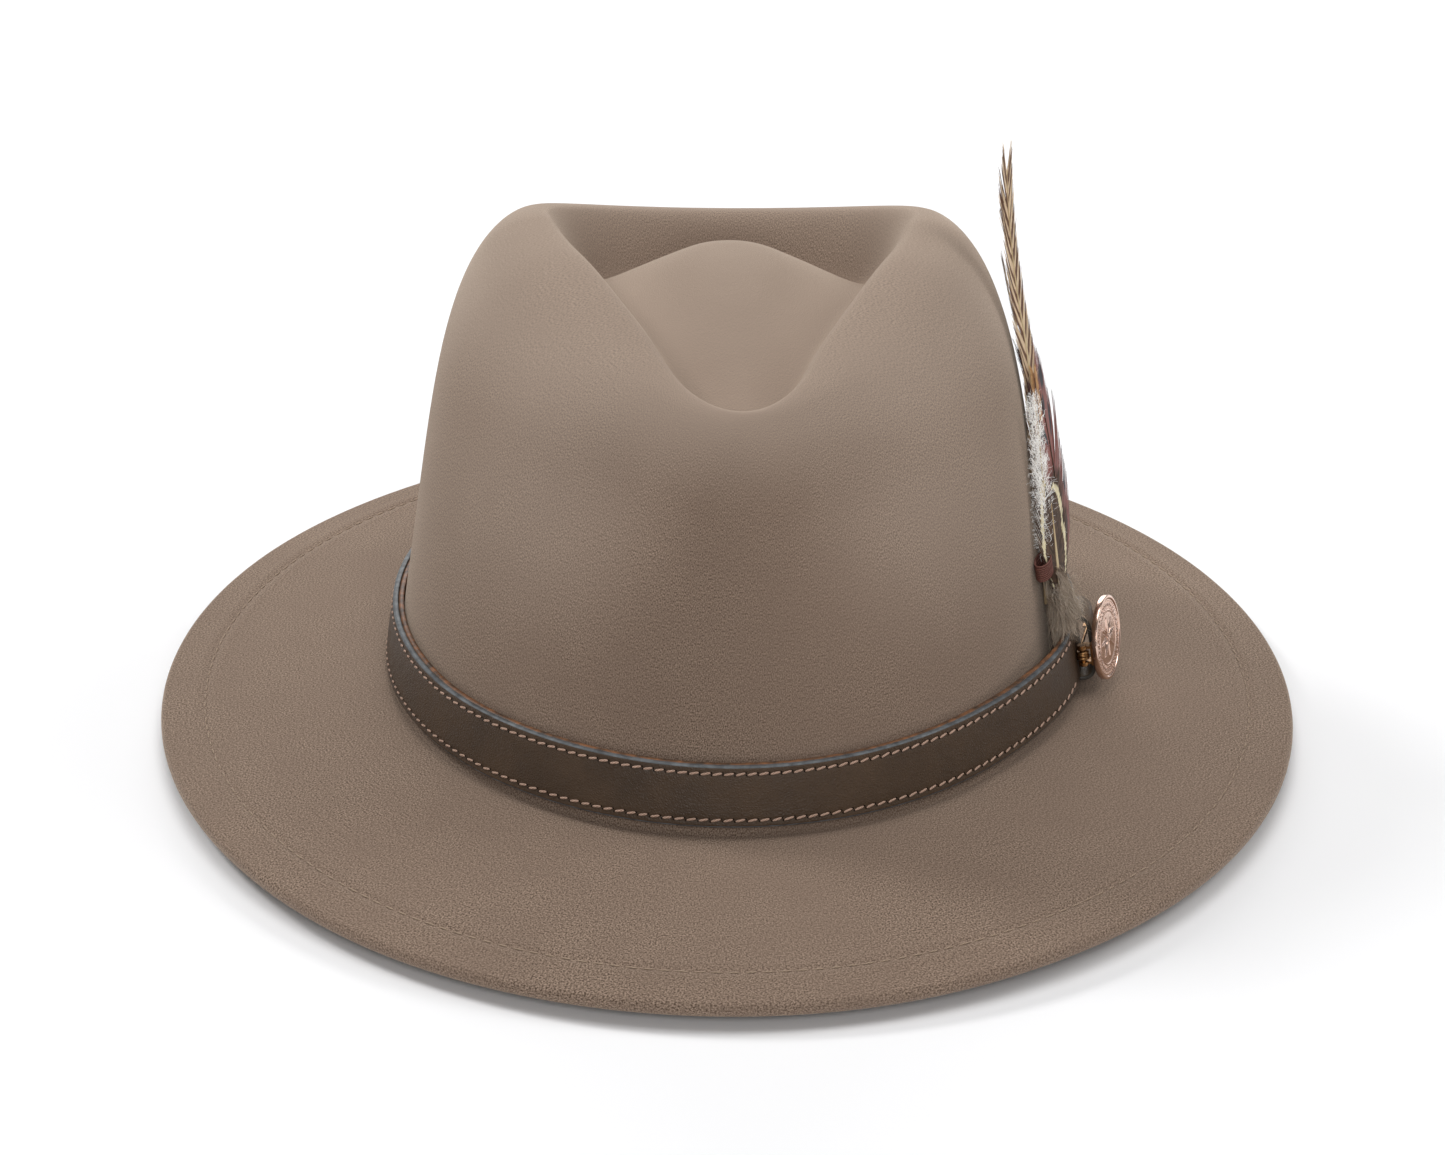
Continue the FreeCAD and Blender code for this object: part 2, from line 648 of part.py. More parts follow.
# name: root (back, up), length, width, lean, distance from the felt at root and tip, thickness, bend
FEATHERS = {
    "feather_long": ((-1.0, 14.7), 116.0, 11.0, SPRAY_LEAN, 1.0, 13.0, 0.5, 2.7),
    "feather_long_back": ((1.5, 14.7), 88.0, 10.0, SPRAY_LEAN + 5.0, 0.4, 3.5, 0.5, 2.7),
    "feather_amber": ((-0.5, 14.7), 60.0, 9.0, SPRAY_LEAN - 2.0, 2.1, 4.4, 0.5, 2.2),
    "feather_down_white": ((1.0, 14.7), 57.0, 9.0, 4.0, 2.9, 5.1, 0.9, 2.2),
    "feather_chestnut": ((0.5, 14.7), 58.0, 23.0, SPRAY_LEAN + 3.0, 6.0, 5.3, 0.5, 2.5),
    "feather_window": ((0.5, 14.7), 28.0, 19.0, SPRAY_LEAN, 7.0, 6.9, 0.5, 1.0),
}


def make_fluff():
    """The loose grey-brown afterfeather that spreads over the band's top edge."""
    tufts = []
    for back in (-6.6, -2.2, 2.2, 6.6):
        length = 10.0 - abs(back) * 0.3
        tufts.append(feather((back, 10.4), length, 3.6, back * 2.0, 7.8, 8.2, 1.2, base=0.8))
    return Part.makeCompound(tufts)


def make_quill_wrap():
    """The bound quills, a flat tongue tucked down between the felt and the keeper."""
    tongue = Part.makeBox(1.0, 6.4, 16.0, Vector(0.45, SPRAY_BACK - 3.2, -6.0))
    edges = [e for e in tongue.Edges if abs(e.tangentAt(e.FirstParameter).z) > 0.99]
    return in_keeper_frame(tongue.makeFillet(0.4, edges))


def make_quill_binding():
    """Thread wound round the spray's foot, above the band."""
    turns = []
    for i in range(4):
        block = Part.makeBox(2.4, 7.6, 0.9, Vector(0.5, SPRAY_BACK - 3.8, 10.1 + 1.0 * i))
        turns.append(block)
    return in_keeper_frame(Part.makeCompound(turns))


# ---- build -----------------------------------------------------------------------------------
def build_nodes():
    nodes = {
        "felt_body": make_felt(),
        "brim_edge_stitching": brim_stitches(),
        "sweatband": make_sweatband(),
        "sweatband_reed": ring_cord(WALL_FOOT - 2.2, SWEATBAND_OUT + 0.5, 0.9, 8),
        "sweatband_stitching": sweatband_stitches(),
        "sweatband_bow": make_sweatband_bow(),
        "size_label": make_size_label(),
        "lining_side": make_shell_strip(WALL_ROW + 3, WALL_ROW + 15, FELT_THICK + 0.5),
        "lining_tip": make_lining_tip(WALL_ROW + 15, FELT_THICK + 0.5),
        "hat_band_backing": strap(0),
        "hat_band": strap(1),
        "band_stitching_upper": band_stitches(BAND_BOTTOM + BAND_HEIGHT - STITCH_INSET),
        "band_stitching_lower": band_stitches(BAND_BOTTOM + STITCH_INSET),
        "band_keeper": make_keeper(),
        "keeper_stitching": make_keeper_stitches(),
        "brooch_pin": make_pin(),
        "coin_disc": make_coin(),
        "coin_bracket": make_coin_bracket(),
        "hinge_rivet": make_hinge_rivet(),
        "catch_base": make_catch_base(),
        "catch_roller": make_catch_roller(),
        "feather_fluff": make_fluff(),
        "quill_wrap": make_quill_wrap(),
        "quill_binding": make_quill_binding(),
    }
    for name, values in FEATHERS.items():
        nodes[name] = feather(*values)
    return nodes


def print_numbers():
    """The joint axes and the frame that the record states."""
    base = BROOCH_FRAME
    axes = [base.Rotation.multVec(Vector(*axis)) for axis in ((1, 0, 0), (0, 1, 0), (0, 0, 1))]
    print("brooch frame", base.Base, *axes)
    print("coin hinge", base.multVec(Vector(COIL_OUT, COIL_BACK, 0.0)))
    print("catch axis", base.multVec(Vector(PIN_OUT, CATCH_BACK, 0.0)))


os.makedirs("parts", exist_ok=True)
for node, shape in build_nodes().items():
    shape.exportStep("parts/" + node + ".step")
    print(node, len(shape.Solids), round(shape.Volume, 1), shape.isValid())
print_numbers()
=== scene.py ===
import math

import bpy
import numpy as np
from mathutils import Matrix, Vector


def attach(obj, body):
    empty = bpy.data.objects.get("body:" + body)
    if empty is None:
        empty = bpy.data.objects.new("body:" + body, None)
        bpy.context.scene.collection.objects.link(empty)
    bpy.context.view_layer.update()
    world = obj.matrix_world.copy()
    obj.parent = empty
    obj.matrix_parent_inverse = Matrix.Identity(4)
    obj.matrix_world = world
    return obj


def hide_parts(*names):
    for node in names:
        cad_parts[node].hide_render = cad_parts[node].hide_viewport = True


# The looks of a felt fedora with a teardrop crown, a stitched leather band, a feather spray and a
# coin brooch. Lengths in the shape functions are millimetres in the row frame (+Z up, -Y the front,
# +X the wearer's left), and every mesh is made in metres.

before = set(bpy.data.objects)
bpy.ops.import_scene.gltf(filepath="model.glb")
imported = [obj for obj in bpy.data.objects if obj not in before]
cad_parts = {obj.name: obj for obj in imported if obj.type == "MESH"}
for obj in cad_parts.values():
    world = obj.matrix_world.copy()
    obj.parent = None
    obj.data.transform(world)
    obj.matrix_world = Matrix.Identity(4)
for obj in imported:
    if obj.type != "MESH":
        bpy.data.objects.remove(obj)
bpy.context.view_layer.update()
MM = 0.001

# ---- the hat's driving dimensions, the same as the CAD model's ----
BRIM_HALF_WIDTH = 148.0
BRIM_HALF_LENGTH = 166.5
BRIM_EDGE_THICK = 5.0
BRIM_SETTLE = -0.406
BRIM_TURN_UNDER = 0.77
STITCH_LINE = 0.82
FELT_THICK = 2.2
BASE_HALF_WIDTH = 86.5
BASE_HALF_LENGTH = 103.0
WALL_FOOT = 17.6
BREAK_HEIGHT = 14.5
BREAK_OUT = 1.6
TIP_BACK = math.radians(1.04)
TIP_SHIFT_Y = 2.6
TIP_SHIFT_Z = -0.9
CREST_HALF_WIDTH = 42.5
CREST_HALF_LENGTH = 74.5
CREST_TAPER = 0.62
CREST_ROUND = 0.16
CREST_HEIGHT = 132.3
CREST_FRONT_DROP = 15.0
CREST_BACK_DROP = 18.5
WALL_TAPER = 0.36
WALL_TAPER_FRONT = 0.26
WALL_SHOULDER = 7
PINCH_ANGLE = 34.0
PINCH_WIDTH = 17.0
PINCH_DEPTH = 5.5
PINCH_LEVEL = 0.77
PINCH_HEIGHT = 0.21
DOME_X = 0.5
DOME_Y = 10.0
DOME_HEIGHT = 124.5
GROOVE_WIDTH = 12.0
GROOVE_DEPTH = 16.0
BAND_BOTTOM = 17.0
BAND_HEIGHT = 15.8
BAND_LAYER = 1.4
BAND_SKIVED = 0.62
LAYER_GAP = 0.1
BAND_CLEAR = 0.3
KEEPER_CLEAR = 3.1
KEEPER_ANGLE = -7.0
COIN_RADIUS = 11.1
COIN_THICK = 1.6
PIN_RADIUS = 0.45

rng = np.random.default_rng(7)


# ---- shape functions: angles in degrees, arrays of any shape, points as (..., 3) ----
def smooth(value):
    """A smooth step from 0 to 1 over the same range of value."""
    value = np.clip(value, 0.0, 1.0)
    return value * value * (3.0 - 2.0 * value)


def bell(distance, width):
    """1 at no distance, falling to 1/e at the width."""
    return np.exp(-((distance / width) ** 2))


def turn_from(angle, centre):
    """The shortest signed turn from centre to angle, in degrees."""
    return (angle - centre + 180.0) % 360.0 - 180.0


def bump(angle, centre, width):
    return bell(turn_from(angle, centre), width)


def run_length(points):
    """How far along a row each point lies, from 0 at the first."""
    return np.concatenate([[0.0], np.cumsum(np.linalg.norm(np.diff(points, axis=0), axis=-1))])


def cos_sin(angle):
    radians = np.radians(angle)
    return np.cos(radians), np.sin(radians)


def tip_back(points):
    """Tips the crown back a little, as it sits on the brim."""
    c, s = math.cos(TIP_BACK), math.sin(TIP_BACK)
    y = points[..., 1] * c + points[..., 2] * s + TIP_SHIFT_Y
    z = points[..., 2] * c - points[..., 1] * s + TIP_SHIFT_Z
    return np.stack([points[..., 0], y, z], -1)


def crest(angle):
    """The ridge round the top of the crown."""
    c, s = cos_sin(angle)
    drop = CREST_FRONT_DROP * smooth((-0.05 - s) / 0.95)
    drop = drop + CREST_BACK_DROP * np.maximum((s - 0.25) / 0.75, 0.0) ** 1.5
    x = 1.0 + CREST_HALF_WIDTH * c * (1.0 + CREST_TAPER * s + CREST_ROUND * smooth((-s - 0.5) / 0.5))
    return np.stack([x, -4.0 + CREST_HALF_LENGTH * s, CREST_HEIGHT - drop - 0.8 * c], -1)


def wall(angle, level):
    """The crown's side; level runs from 0 at the foot to 1 at the crest."""
    angle, level = as_arrays(angle, level)
    c, s = cos_sin(angle)
    ridge = crest(angle)
    shoulder = np.maximum(1.0 - np.sign(level) * np.abs(level) ** WALL_SHOULDER, 0.0)
    taper = WALL_TAPER + WALL_TAPER_FRONT * smooth((-s - 0.5) / 0.5)
    spread = (1.0 - taper * level) * np.sqrt(shoulder)
    x = ridge[..., 0] + (BASE_HALF_WIDTH * c - ridge[..., 0]) * spread
    y = ridge[..., 1] + (BASE_HALF_LENGTH * s - ridge[..., 1]) * spread
    z = WALL_FOOT + (ridge[..., 2] - WALL_FOOT) * level
    for side in (-1.0, 1.0):
        pinch = PINCH_DEPTH * bump(angle, -90.0 + side * PINCH_ANGLE, PINCH_WIDTH)
        pinch = pinch * bell(level - PINCH_LEVEL, PINCH_HEIGHT)
        reach = np.hypot(x, y)
        x, y = x - pinch * x / reach, y - pinch * y / reach
    return np.stack([x, y, z], -1)


def crown_top(angle, reach):
    """Inside the crest: the groove and the dome; reach is 1 at the crest and 0 in the middle."""
    angle, reach = as_arrays(angle, reach)
    s = cos_sin(angle)[1]
    ridge = crest(angle)
    span = np.hypot(ridge[..., 0] - DOME_X, ridge[..., 1] - DOME_Y)
    groove = 1.0 - GROOVE_WIDTH / span
    shallow = 8.5 * smooth(-s / 0.8) - 3.0 * smooth(2.0 * s) + 6.0 * smooth((s - 0.7) / 0.3)
    floor = ridge[..., 2] - (GROOVE_DEPTH - shallow)
    inside = reach / groove
    fall = inside ** 4 * (5.0 - 4.0 * inside)
    fall = fall + (smooth(inside) - fall) * smooth(-s)
    dome = DOME_HEIGHT - (DOME_HEIGHT - floor) * fall
    bank = floor + (ridge[..., 2] - floor) * (1.0 + np.cos(np.pi * (1.0 - reach) / (1.0 - groove))) / 2.0
    z = np.where(reach < groove, dome, bank)
    x = DOME_X + reach * (ridge[..., 0] - DOME_X)
    y = DOME_Y + reach * (ridge[..., 1] - DOME_Y)
    return np.stack([x, y, z], -1)


def edge_lift(angle):
    """The height of the brim's underside at its edge."""
    c, s = cos_sin(angle)
    lift = BRIM_SETTLE + 0.9 * smooth((np.abs(c) - 0.55) / 0.45) + 0.3 * smooth((s - 0.6) / 0.4)
    return lift + 1.2 * bump(angle, 306.0, 18.0)


def brim_top(angle, out):
    """The brim's upper face; out runs from 0 at the crown to 1 at the edge."""
    angle, out = as_arrays(angle, out)
    c, s = cos_sin(angle)
    foot = np.stack([(BASE_HALF_WIDTH + BREAK_OUT) * c, (BASE_HALF_LENGTH + BREAK_OUT) * s,
                     np.full_like(c, BREAK_HEIGHT)], -1)
    inner = tip_back(foot)
    outer = np.stack([BRIM_HALF_WIDTH * c, BRIM_HALF_LENGTH * s, edge_lift(angle) + BRIM_EDGE_THICK], -1)
    mixed = inner + (outer - inner) * out[..., None]
    mixed[..., 2] = inner[..., 2] + (outer[..., 2] - inner[..., 2]) * out ** 1.1
    return mixed


def as_arrays(*values):
    """The values as float arrays of one shape."""
    return np.broadcast_arrays(*[np.asarray(value, float) for value in values])


def unit(vectors):
    return vectors / np.maximum(np.linalg.norm(vectors, axis=-1, keepdims=True), 1e-9)


def outward(surface, angle, level):
    along = surface(angle + 0.5, level) - surface(angle - 0.5, level)
    up = surface(angle, level + 0.002) - surface(angle, level - 0.002)
    return unit(np.cross(along, up))


def wall_at(angle, height, out):
    """A point by its height in the level hat, standing out of the felt's wall by out."""
    angle, height, out = as_arrays(angle, height, out)
    level = (height - WALL_FOOT) / (crest(angle)[..., 2] - WALL_FOOT)
    return tip_back(wall(angle, level) + outward(wall, angle, level) * out[..., None])


# ---- mesh helpers ----
def mesh_object(name, points, faces, uvs=None, smooth_shading=True, face_materials=None):
    """An object from points in millimetres; faces is a list of arrays, uvs one pair per point."""
    mesh = bpy.data.meshes.new(name)
    points = np.asarray(points, float).reshape(-1, 3) * MM
    corners = np.concatenate([np.asarray(group, np.int32).ravel() for group in faces])
    sizes = np.concatenate([np.full(len(group), np.shape(group)[1], np.int32) for group in faces])
    mesh.vertices.add(len(points))
    mesh.vertices.foreach_set("co", points.ravel())
    mesh.loops.add(len(corners))
    mesh.loops.foreach_set("vertex_index", corners)
    mesh.polygons.add(len(sizes))
    starts = np.concatenate([[0], np.cumsum(sizes)[:-1]])
    mesh.polygons.foreach_set("loop_start", starts.astype(np.int32))
    mesh.polygons.foreach_set("use_smooth", np.full(len(sizes), smooth_shading))
    if face_materials is not None:
        mesh.polygons.foreach_set("material_index", np.asarray(face_materials, np.int32))
    if uvs is not None:
        layer = mesh.uv_layers.new(name="UVMap")
        layer.data.foreach_set("uv", np.asarray(uvs, float).reshape(-1, 2)[corners].ravel())
    mesh.update(calc_edges=True)
    mesh.validate()
    obj = bpy.data.objects.new(name, mesh)
    bpy.context.scene.collection.objects.link(obj)
    return obj


def grid_faces(rows, columns, wrap_columns=False):
    """Quads of a grid of points stored row by row; wrapped, the last column joins the first."""
    column_count = columns if wrap_columns else columns - 1
    i, j = np.meshgrid(np.arange(rows - 1), np.arange(column_count), indexing="ij")
    here, above = i * columns, (i + 1) * columns
    next_j = (j + 1) % columns
    return np.stack([here + j, here + next_j, above + next_j, above + j], -1).reshape(-1, 4)


def finish_piece(obj, body, slot, node, *materials):
    """Gives a piece its materials and its body, and hides the CAD node that it stands for; slot is not
    used.
    """
    for material in materials:
        obj.data.materials.append(material)
    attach(obj, body)
    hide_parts(node)


def dress(node, material):
    """Gives a CAD node that stays visible its material."""
    materials = bpy.data.objects[node].data.materials
    materials.clear()
    materials.append(material)


# ---- materials ----
def srgb(red, green, blue):
    """A linear colour from 0-255 display values."""
    channels = []
    for value in (red, green, blue):
        value = value / 255.0
        channels.append(value / 12.92 if value <= 0.04045 else ((value + 0.055) / 1.055) ** 2.4)
    return (channels[0], channels[1], channels[2], 1.0)


class Recipe:
    """A short way to write a node material."""

    def __init__(self, name):
        self.material = bpy.data.materials.new(name)
        self.material.use_nodes = True
        self.tree = self.material.node_tree
        self.shader = self.tree.nodes["Principled BSDF"]

    def node(self, kind, **values):
        made = self.tree.nodes.new(kind)
        for key, value in values.items():
            if key in made.inputs:
                made.inputs[key].default_value = value
            else:
                setattr(made, key, value)
        return made

    def link(self, source, target):
        self.tree.links.new(source, target)

    def coords(self, kind="Object", scale=(1.0, 1.0, 1.0)):
        source = self.node("ShaderNodeTexCoord")
        mapping = self.node("ShaderNodeMapping")
        mapping.inputs["Scale"].default_value = scale
        self.link(source.outputs[kind], mapping.inputs["Vector"])
        return mapping.outputs["Vector"]

    def noise(self, vector, scale, detail=3.0, roughness=0.55, distortion=0.0):
        made = self.node("ShaderNodeTexNoise")
        made.inputs["Scale"].default_value = scale
        made.inputs["Detail"].default_value = detail
        made.inputs["Roughness"].default_value = roughness
        made.inputs["Distortion"].default_value = distortion
        self.link(vector, made.inputs["Vector"])
        return made.outputs["Fac"]

    def grey_ramp(self, value, low, high, dark=0.0, light=1.0):
        """Grey from dark at low to light at high."""
        made = self.node("ShaderNodeValToRGB")
        for element, place, grey in zip(made.color_ramp.elements, (low, high), (dark, light)):
            element.position = place
            element.color = (grey, grey, grey, 1.0)
        self.link(value, made.inputs["Fac"])
        return made.outputs["Color"]

    def mix(self, factor, first, second):
        made = self.node("ShaderNodeMix", data_type="RGBA")
        for value, socket in ((factor, made.inputs[0]), (first, made.inputs[6]), (second, made.inputs[7])):
            if isinstance(value, tuple):
                socket.default_value = srgb(*value)
            elif isinstance(value, float):
                socket.default_value = value
            else:
                self.link(value, socket)
        return made.outputs[2]

    def math(self, operation, first, second=0.0):
        made = self.node("ShaderNodeMath", operation=operation)
        for value, socket in ((first, made.inputs[0]), (second, made.inputs[1])):
            if isinstance(value, (int, float)):
                socket.default_value = value
            else:
                self.link(value, socket)
        return made.outputs[0]

    def plus(self, first, second):
        return self.math("ADD", first, second)

    def minus(self, first, second):
        return self.math("SUBTRACT", first, second)

    def times(self, first, second):
        return self.math("MULTIPLY", first, second)

    def bump(self, height, strength, distance, under=None):
        made = self.node("ShaderNodeBump")
        made.inputs["Strength"].default_value = strength
        made.inputs["Distance"].default_value = distance
        self.link(height, made.inputs["Height"])
        if under is not None:
            self.link(under, made.inputs["Normal"])
        return made.outputs["Normal"]

    def spot(self, vector, centre, radius):
        """One at the centre, falling smoothly to nothing at the radius."""
        away = self.node("ShaderNodeVectorMath", operation="DISTANCE")
        self.link(vector, away.inputs[0])
        away.inputs[1].default_value = centre
        fall = self.node("ShaderNodeMapRange", interpolation_type="SMOOTHSTEP")
        fall.inputs["From Max"].default_value = radius
        fall.inputs["To Min"].default_value = 1.0
        fall.inputs["To Max"].default_value = 0.0
        self.link(away.outputs["Value"], fall.inputs["Value"])
        return fall.outputs["Result"]

    def finish(self, colour, roughness, normal=None, **sockets):
        """The material; a colour is a socket or 0-255 display values, and other sockets go by name."""
        if isinstance(colour, tuple):
            self.shader.inputs["Base Color"].default_value = srgb(*colour)
        else:
            self.link(colour, self.shader.inputs["Base Color"])
        if isinstance(roughness, float):
            self.shader.inputs["Roughness"].default_value = roughness
        else:
            self.link(roughness, self.shader.inputs["Roughness"])
        if normal is not None:
            self.link(normal, self.shader.inputs["Normal"])
        for name, value in sockets.items():
            value = srgb(*value) if isinstance(value, tuple) else value
            self.shader.inputs[name.replace("_", " ")].default_value = value
        return self.material


PAINTED_SHEEN_HEIGHTS = (0.094, 0.122)              # metres: where the painted highlight on the crown's top starts and is full
PAINTED_LIGHT_SPOT = (0.050, -0.056, 0.090)       # metres: the front pinch that is painted paler, as a painted highlight
PAINTED_LIGHT_RADIUS = 0.052
# the paler felt tone that the painted highlights mix in
PAINTED_LIGHT_TONE = (190, 173, 158)


def felt_material():
    """Brushed wool felt: fine speckle, soft mottling, a nap that runs along the UV's V, sheen, and painted
    highlights on the crown's top and front pinches.
    """
    r = Recipe("felt")
    place = r.coords("Object")
    nap = r.coords("UV", scale=(1.0, 0.7, 1.0))
    mottle = r.grey_ramp(r.noise(place, 55.0, 4.0, 0.6), 0.35, 0.65)
    cloud = r.grey_ramp(r.noise(place, 14.0, 2.0), 0.35, 0.68)
    speckle = r.grey_ramp(r.noise(nap, 3000.0, 2.0, 0.6), 0.36, 0.64)
    colour = r.mix(speckle, (73, 58, 48), (161, 140, 123))
    colour = r.mix(r.times(mottle, 0.30), colour, (112, 94, 82))
    colour = r.mix(r.times(cloud, 0.30), colour, (131, 112, 98))
    height = r.node("ShaderNodeSeparateXYZ")
    r.link(place, height.inputs[0])
    # painted highlight: the felt is mixed paler with height over the crown's top, standing in for sheen
    worn = r.node("ShaderNodeMapRange", interpolation_type="SMOOTHSTEP")
    worn.inputs["From Min"].default_value = PAINTED_SHEEN_HEIGHTS[0]
    worn.inputs["From Max"].default_value = PAINTED_SHEEN_HEIGHTS[1]
    r.link(height.outputs[2], worn.inputs["Value"])
    colour = r.mix(r.times(worn.outputs["Result"], 0.32), colour, PAINTED_LIGHT_TONE)
    # painted highlights: both front pinches are mixed paler, as if lit
    lit_pinch_mask = 0.0
    for side in (-1.0, 1.0):
        lit_pinch_mask = r.plus(lit_pinch_mask, r.spot(place, (side * PAINTED_LIGHT_SPOT[0],) + PAINTED_LIGHT_SPOT[1:], PAINTED_LIGHT_RADIUS))
    colour = r.mix(r.times(lit_pinch_mask, 0.24), colour, PAINTED_LIGHT_TONE)
    fibre = r.noise(nap, 4200.0, 4.0, 0.75, 0.6)
    normal = r.bump(fibre, 0.22, 0.0003)
    normal = r.bump(r.noise(place, 90.0, 2.0), 0.10, 0.0010, normal)
    return r.finish(colour, 0.95, normal, Sheen_Weight=0.50, Sheen_Roughness=0.45,
                    Sheen_Tint=(205, 190, 174), Specular_IOR_Level=0.1)


# ---- felt ----
STITCH_COUNT = 210
COLUMNS = STITCH_COUNT * 4
BRIM_OUTS = np.concatenate([np.linspace(0.988, 0.74, 34), np.linspace(0.73, 0.06, 40),
                            np.linspace(0.05, 0.004, 6)])
WALL_LEVELS = np.concatenate([np.linspace(-0.015, 0.03, 7), np.linspace(0.045, 0.86, 62),
                              np.linspace(0.87, 0.97, 16), 1.0 - 0.026 * np.linspace(1.0, 0.0, 14) ** 2])
TOP_REACHES = 1.0 - np.linspace(0.012, 0.985, 88)
BRIM_ROWS = len(BRIM_OUTS)
WALL_END = BRIM_ROWS + len(WALL_LEVELS)
CHANNEL_DEPTH = 0.42
CHANNEL_WIDTH = 0.9
EDGE_BULGE = 1.75


def felt_outer():
    """The outer surface as rows of points from the brim's edge to the dome's middle."""
    angles = 360.0 * np.arange(COLUMNS) / COLUMNS
    rows = [brim_top(angles, out) for out in BRIM_OUTS]
    rows += [tip_back(wall(angles, level)) for level in WALL_LEVELS]
    rows += [tip_back(crown_top(angles, reach)) for reach in TOP_REACHES]
    return angles, np.array(rows)


def round_off(rows, reach):
    """Rounds the top's rows more and more towards the middle, where a real dome has no corner."""
    waves = np.arange(rows.shape[1] // 2 + 1)
    spread = np.radians(34.0) * smooth((0.86 - reach) / 0.5)
    damp = np.exp(-0.5 * (waves[None, :] * spread[:, None]) ** 2)
    return np.fft.irfft(np.fft.rfft(rows, axis=1) * damp[:, :, None], n=rows.shape[1], axis=1)


def relax(rows, start, passes):
    """Evens out the rows from start on, across and round the hat, and leaves the others."""
    middle = rows[-1].mean(0)
    for _ in range(passes):
        after = np.concatenate([rows[1:], np.broadcast_to(middle, rows[:1].shape)])
        before = np.concatenate([rows[:1], rows[:-1]])
        average = (np.roll(rows, 1, 1) + np.roll(rows, -1, 1) + before + after) / 4.0
        rows = np.concatenate([rows[:start], (rows[start:] + average[start:]) / 2.0])
    return rows


def row_normals(rows):
    along = np.roll(rows, -1, 1) - np.roll(rows, 1, 1)
    up = np.gradient(rows, axis=0)
    return unit(np.cross(along, up))


def make_felt():
    """The felt body, and its outer rows and normals for what lies against it."""
    angles, rows = felt_outer()
    rows[WALL_END:] = round_off(rows[WALL_END:], TOP_REACHES)
    rows = relax(rows, WALL_END - 10, 16)
    normals = row_normals(rows)

    # the sewn channel near the brim's edge, deeper at each stitch
    line = rows[:BRIM_ROWS]
    across = np.linalg.norm(line - brim_top(angles, STITCH_LINE)[None], axis=-1)
    beat = 0.5 + 0.5 * np.cos(2.0 * np.pi * angles * STITCH_COUNT / 360.0)
    depth = CHANNEL_DEPTH * bell(across, CHANNEL_WIDTH) * (0.55 + 0.45 * beat)
    depth = depth - 0.10 * bell(across - 2.6, 1.3)
    rows[:BRIM_ROWS] = line - normals[:BRIM_ROWS] * depth[..., None]

    thick = np.full(len(rows), FELT_THICK)
    turned_under = smooth((BRIM_OUTS - BRIM_TURN_UNDER + 0.012) / 0.02)
    thick[:BRIM_ROWS] = FELT_THICK + (BRIM_EDGE_THICK - FELT_THICK) * turned_under
    thick[:3] = BRIM_EDGE_THICK * np.array([0.90, 0.97, 1.0])
    inner = rows - normals * thick[:, None, None]

    # the rounded edge between the two faces
    first, last = rows[0], inner[0]
    centre = (first + last) / 2.0
    side = unit((centre - rows[8]) * np.array([1.0, 1.0, 0.0]))
    rim = []
    for turn in np.linspace(-80.0, 80.0, 11):
        c, s = cos_sin(turn)
        rim.append(centre + (last - first) / 2.0 * s + side * EDGE_BULGE * c)
    layers = np.concatenate([rows[::-1], np.array(rim), inner])
    count = len(layers)
    quads = grid_faces(count, COLUMNS, wrap_columns=True)[:, ::-1]
    pole_out, pole_in = count * COLUMNS, count * COLUMNS + 1
    ring = np.arange(COLUMNS)
    nxt = (ring + 1) % COLUMNS
    last_row = (count - 1) * COLUMNS
    caps = np.concatenate([np.stack([np.full(COLUMNS, pole_out), ring, nxt], -1),
                           np.stack([np.full(COLUMNS, pole_in), last_row + nxt, last_row + ring], -1)])
    points = np.concatenate([layers.reshape(-1, 3), [rows[-1].mean(0)], [inner[-1].mean(0)]])
    steps = np.linalg.norm(np.diff(layers, axis=0), axis=-1).mean(1)
    arc = np.concatenate([[0.0], np.cumsum(steps)])
    u = np.broadcast_to(angles * MM * 1.7, (count, COLUMNS))
    v = np.broadcast_to((arc * MM)[:, None], (count, COLUMNS))
    uvs = np.concatenate([np.stack([u, v], -1).reshape(-1, 2), [[0.0, 0.0]], [[0.0, 1.0]]])
    return mesh_object("felt_body_fabric", points, [quads, caps], uvs), rows, normals


felt, felt_rows, felt_normals = make_felt()
finish_piece(felt, "root", "felt", "felt_body", felt_material())

# ---- the keeper's frame: out from the felt, back round the hat and up the wall ----
KEEPER_LEVEL = BAND_BOTTOM + BAND_HEIGHT / 2.0
K_ORIGIN = wall_at(KEEPER_ANGLE, KEEPER_LEVEL, 0.0)
K_UP = unit(wall_at(KEEPER_ANGLE, KEEPER_LEVEL + 4.0, 0.0) - wall_at(KEEPER_ANGLE, KEEPER_LEVEL - 4.0, 0.0))
K_OUT = unit(wall_at(KEEPER_ANGLE, KEEPER_LEVEL, 1.0) - K_ORIGIN)
K_BACK = unit(np.cross(K_UP, K_OUT))
K_UP = np.cross(K_OUT, K_BACK)
STRAP_NEAR = KEEPER_CLEAR
STRAP_FAR = KEEPER_CLEAR + 4.0 * BAND_LAYER * BAND_SKIVED + 3.0 * LAYER_GAP
PIN_OUT = STRAP_FAR + 2.0
TUNNEL_FAR = PIN_OUT + PIN_RADIUS + 0.35
COIL_RADIUS = 1.3
COIL_OUT = PIN_OUT + COIL_RADIUS
COIL_BACK = -10.2
COIN_OUT = COIL_OUT + 2.6
CATCH_BACK = 8.3
CATCH_LENGTH = 2.4


def in_keeper(points):
    """Points given as (out, back, up) in the keeper's frame."""
    points = np.asarray(points, float)
    return K_ORIGIN + points[..., :1] * K_OUT + points[..., 1:2] * K_BACK + points[..., 2:] * K_UP


BROOCH_TURN = math.radians(7.0)
COIN_SLANT = math.radians(7.0)
TUNNEL_MIDDLE = (STRAP_FAR + TUNNEL_FAR) / 2.0


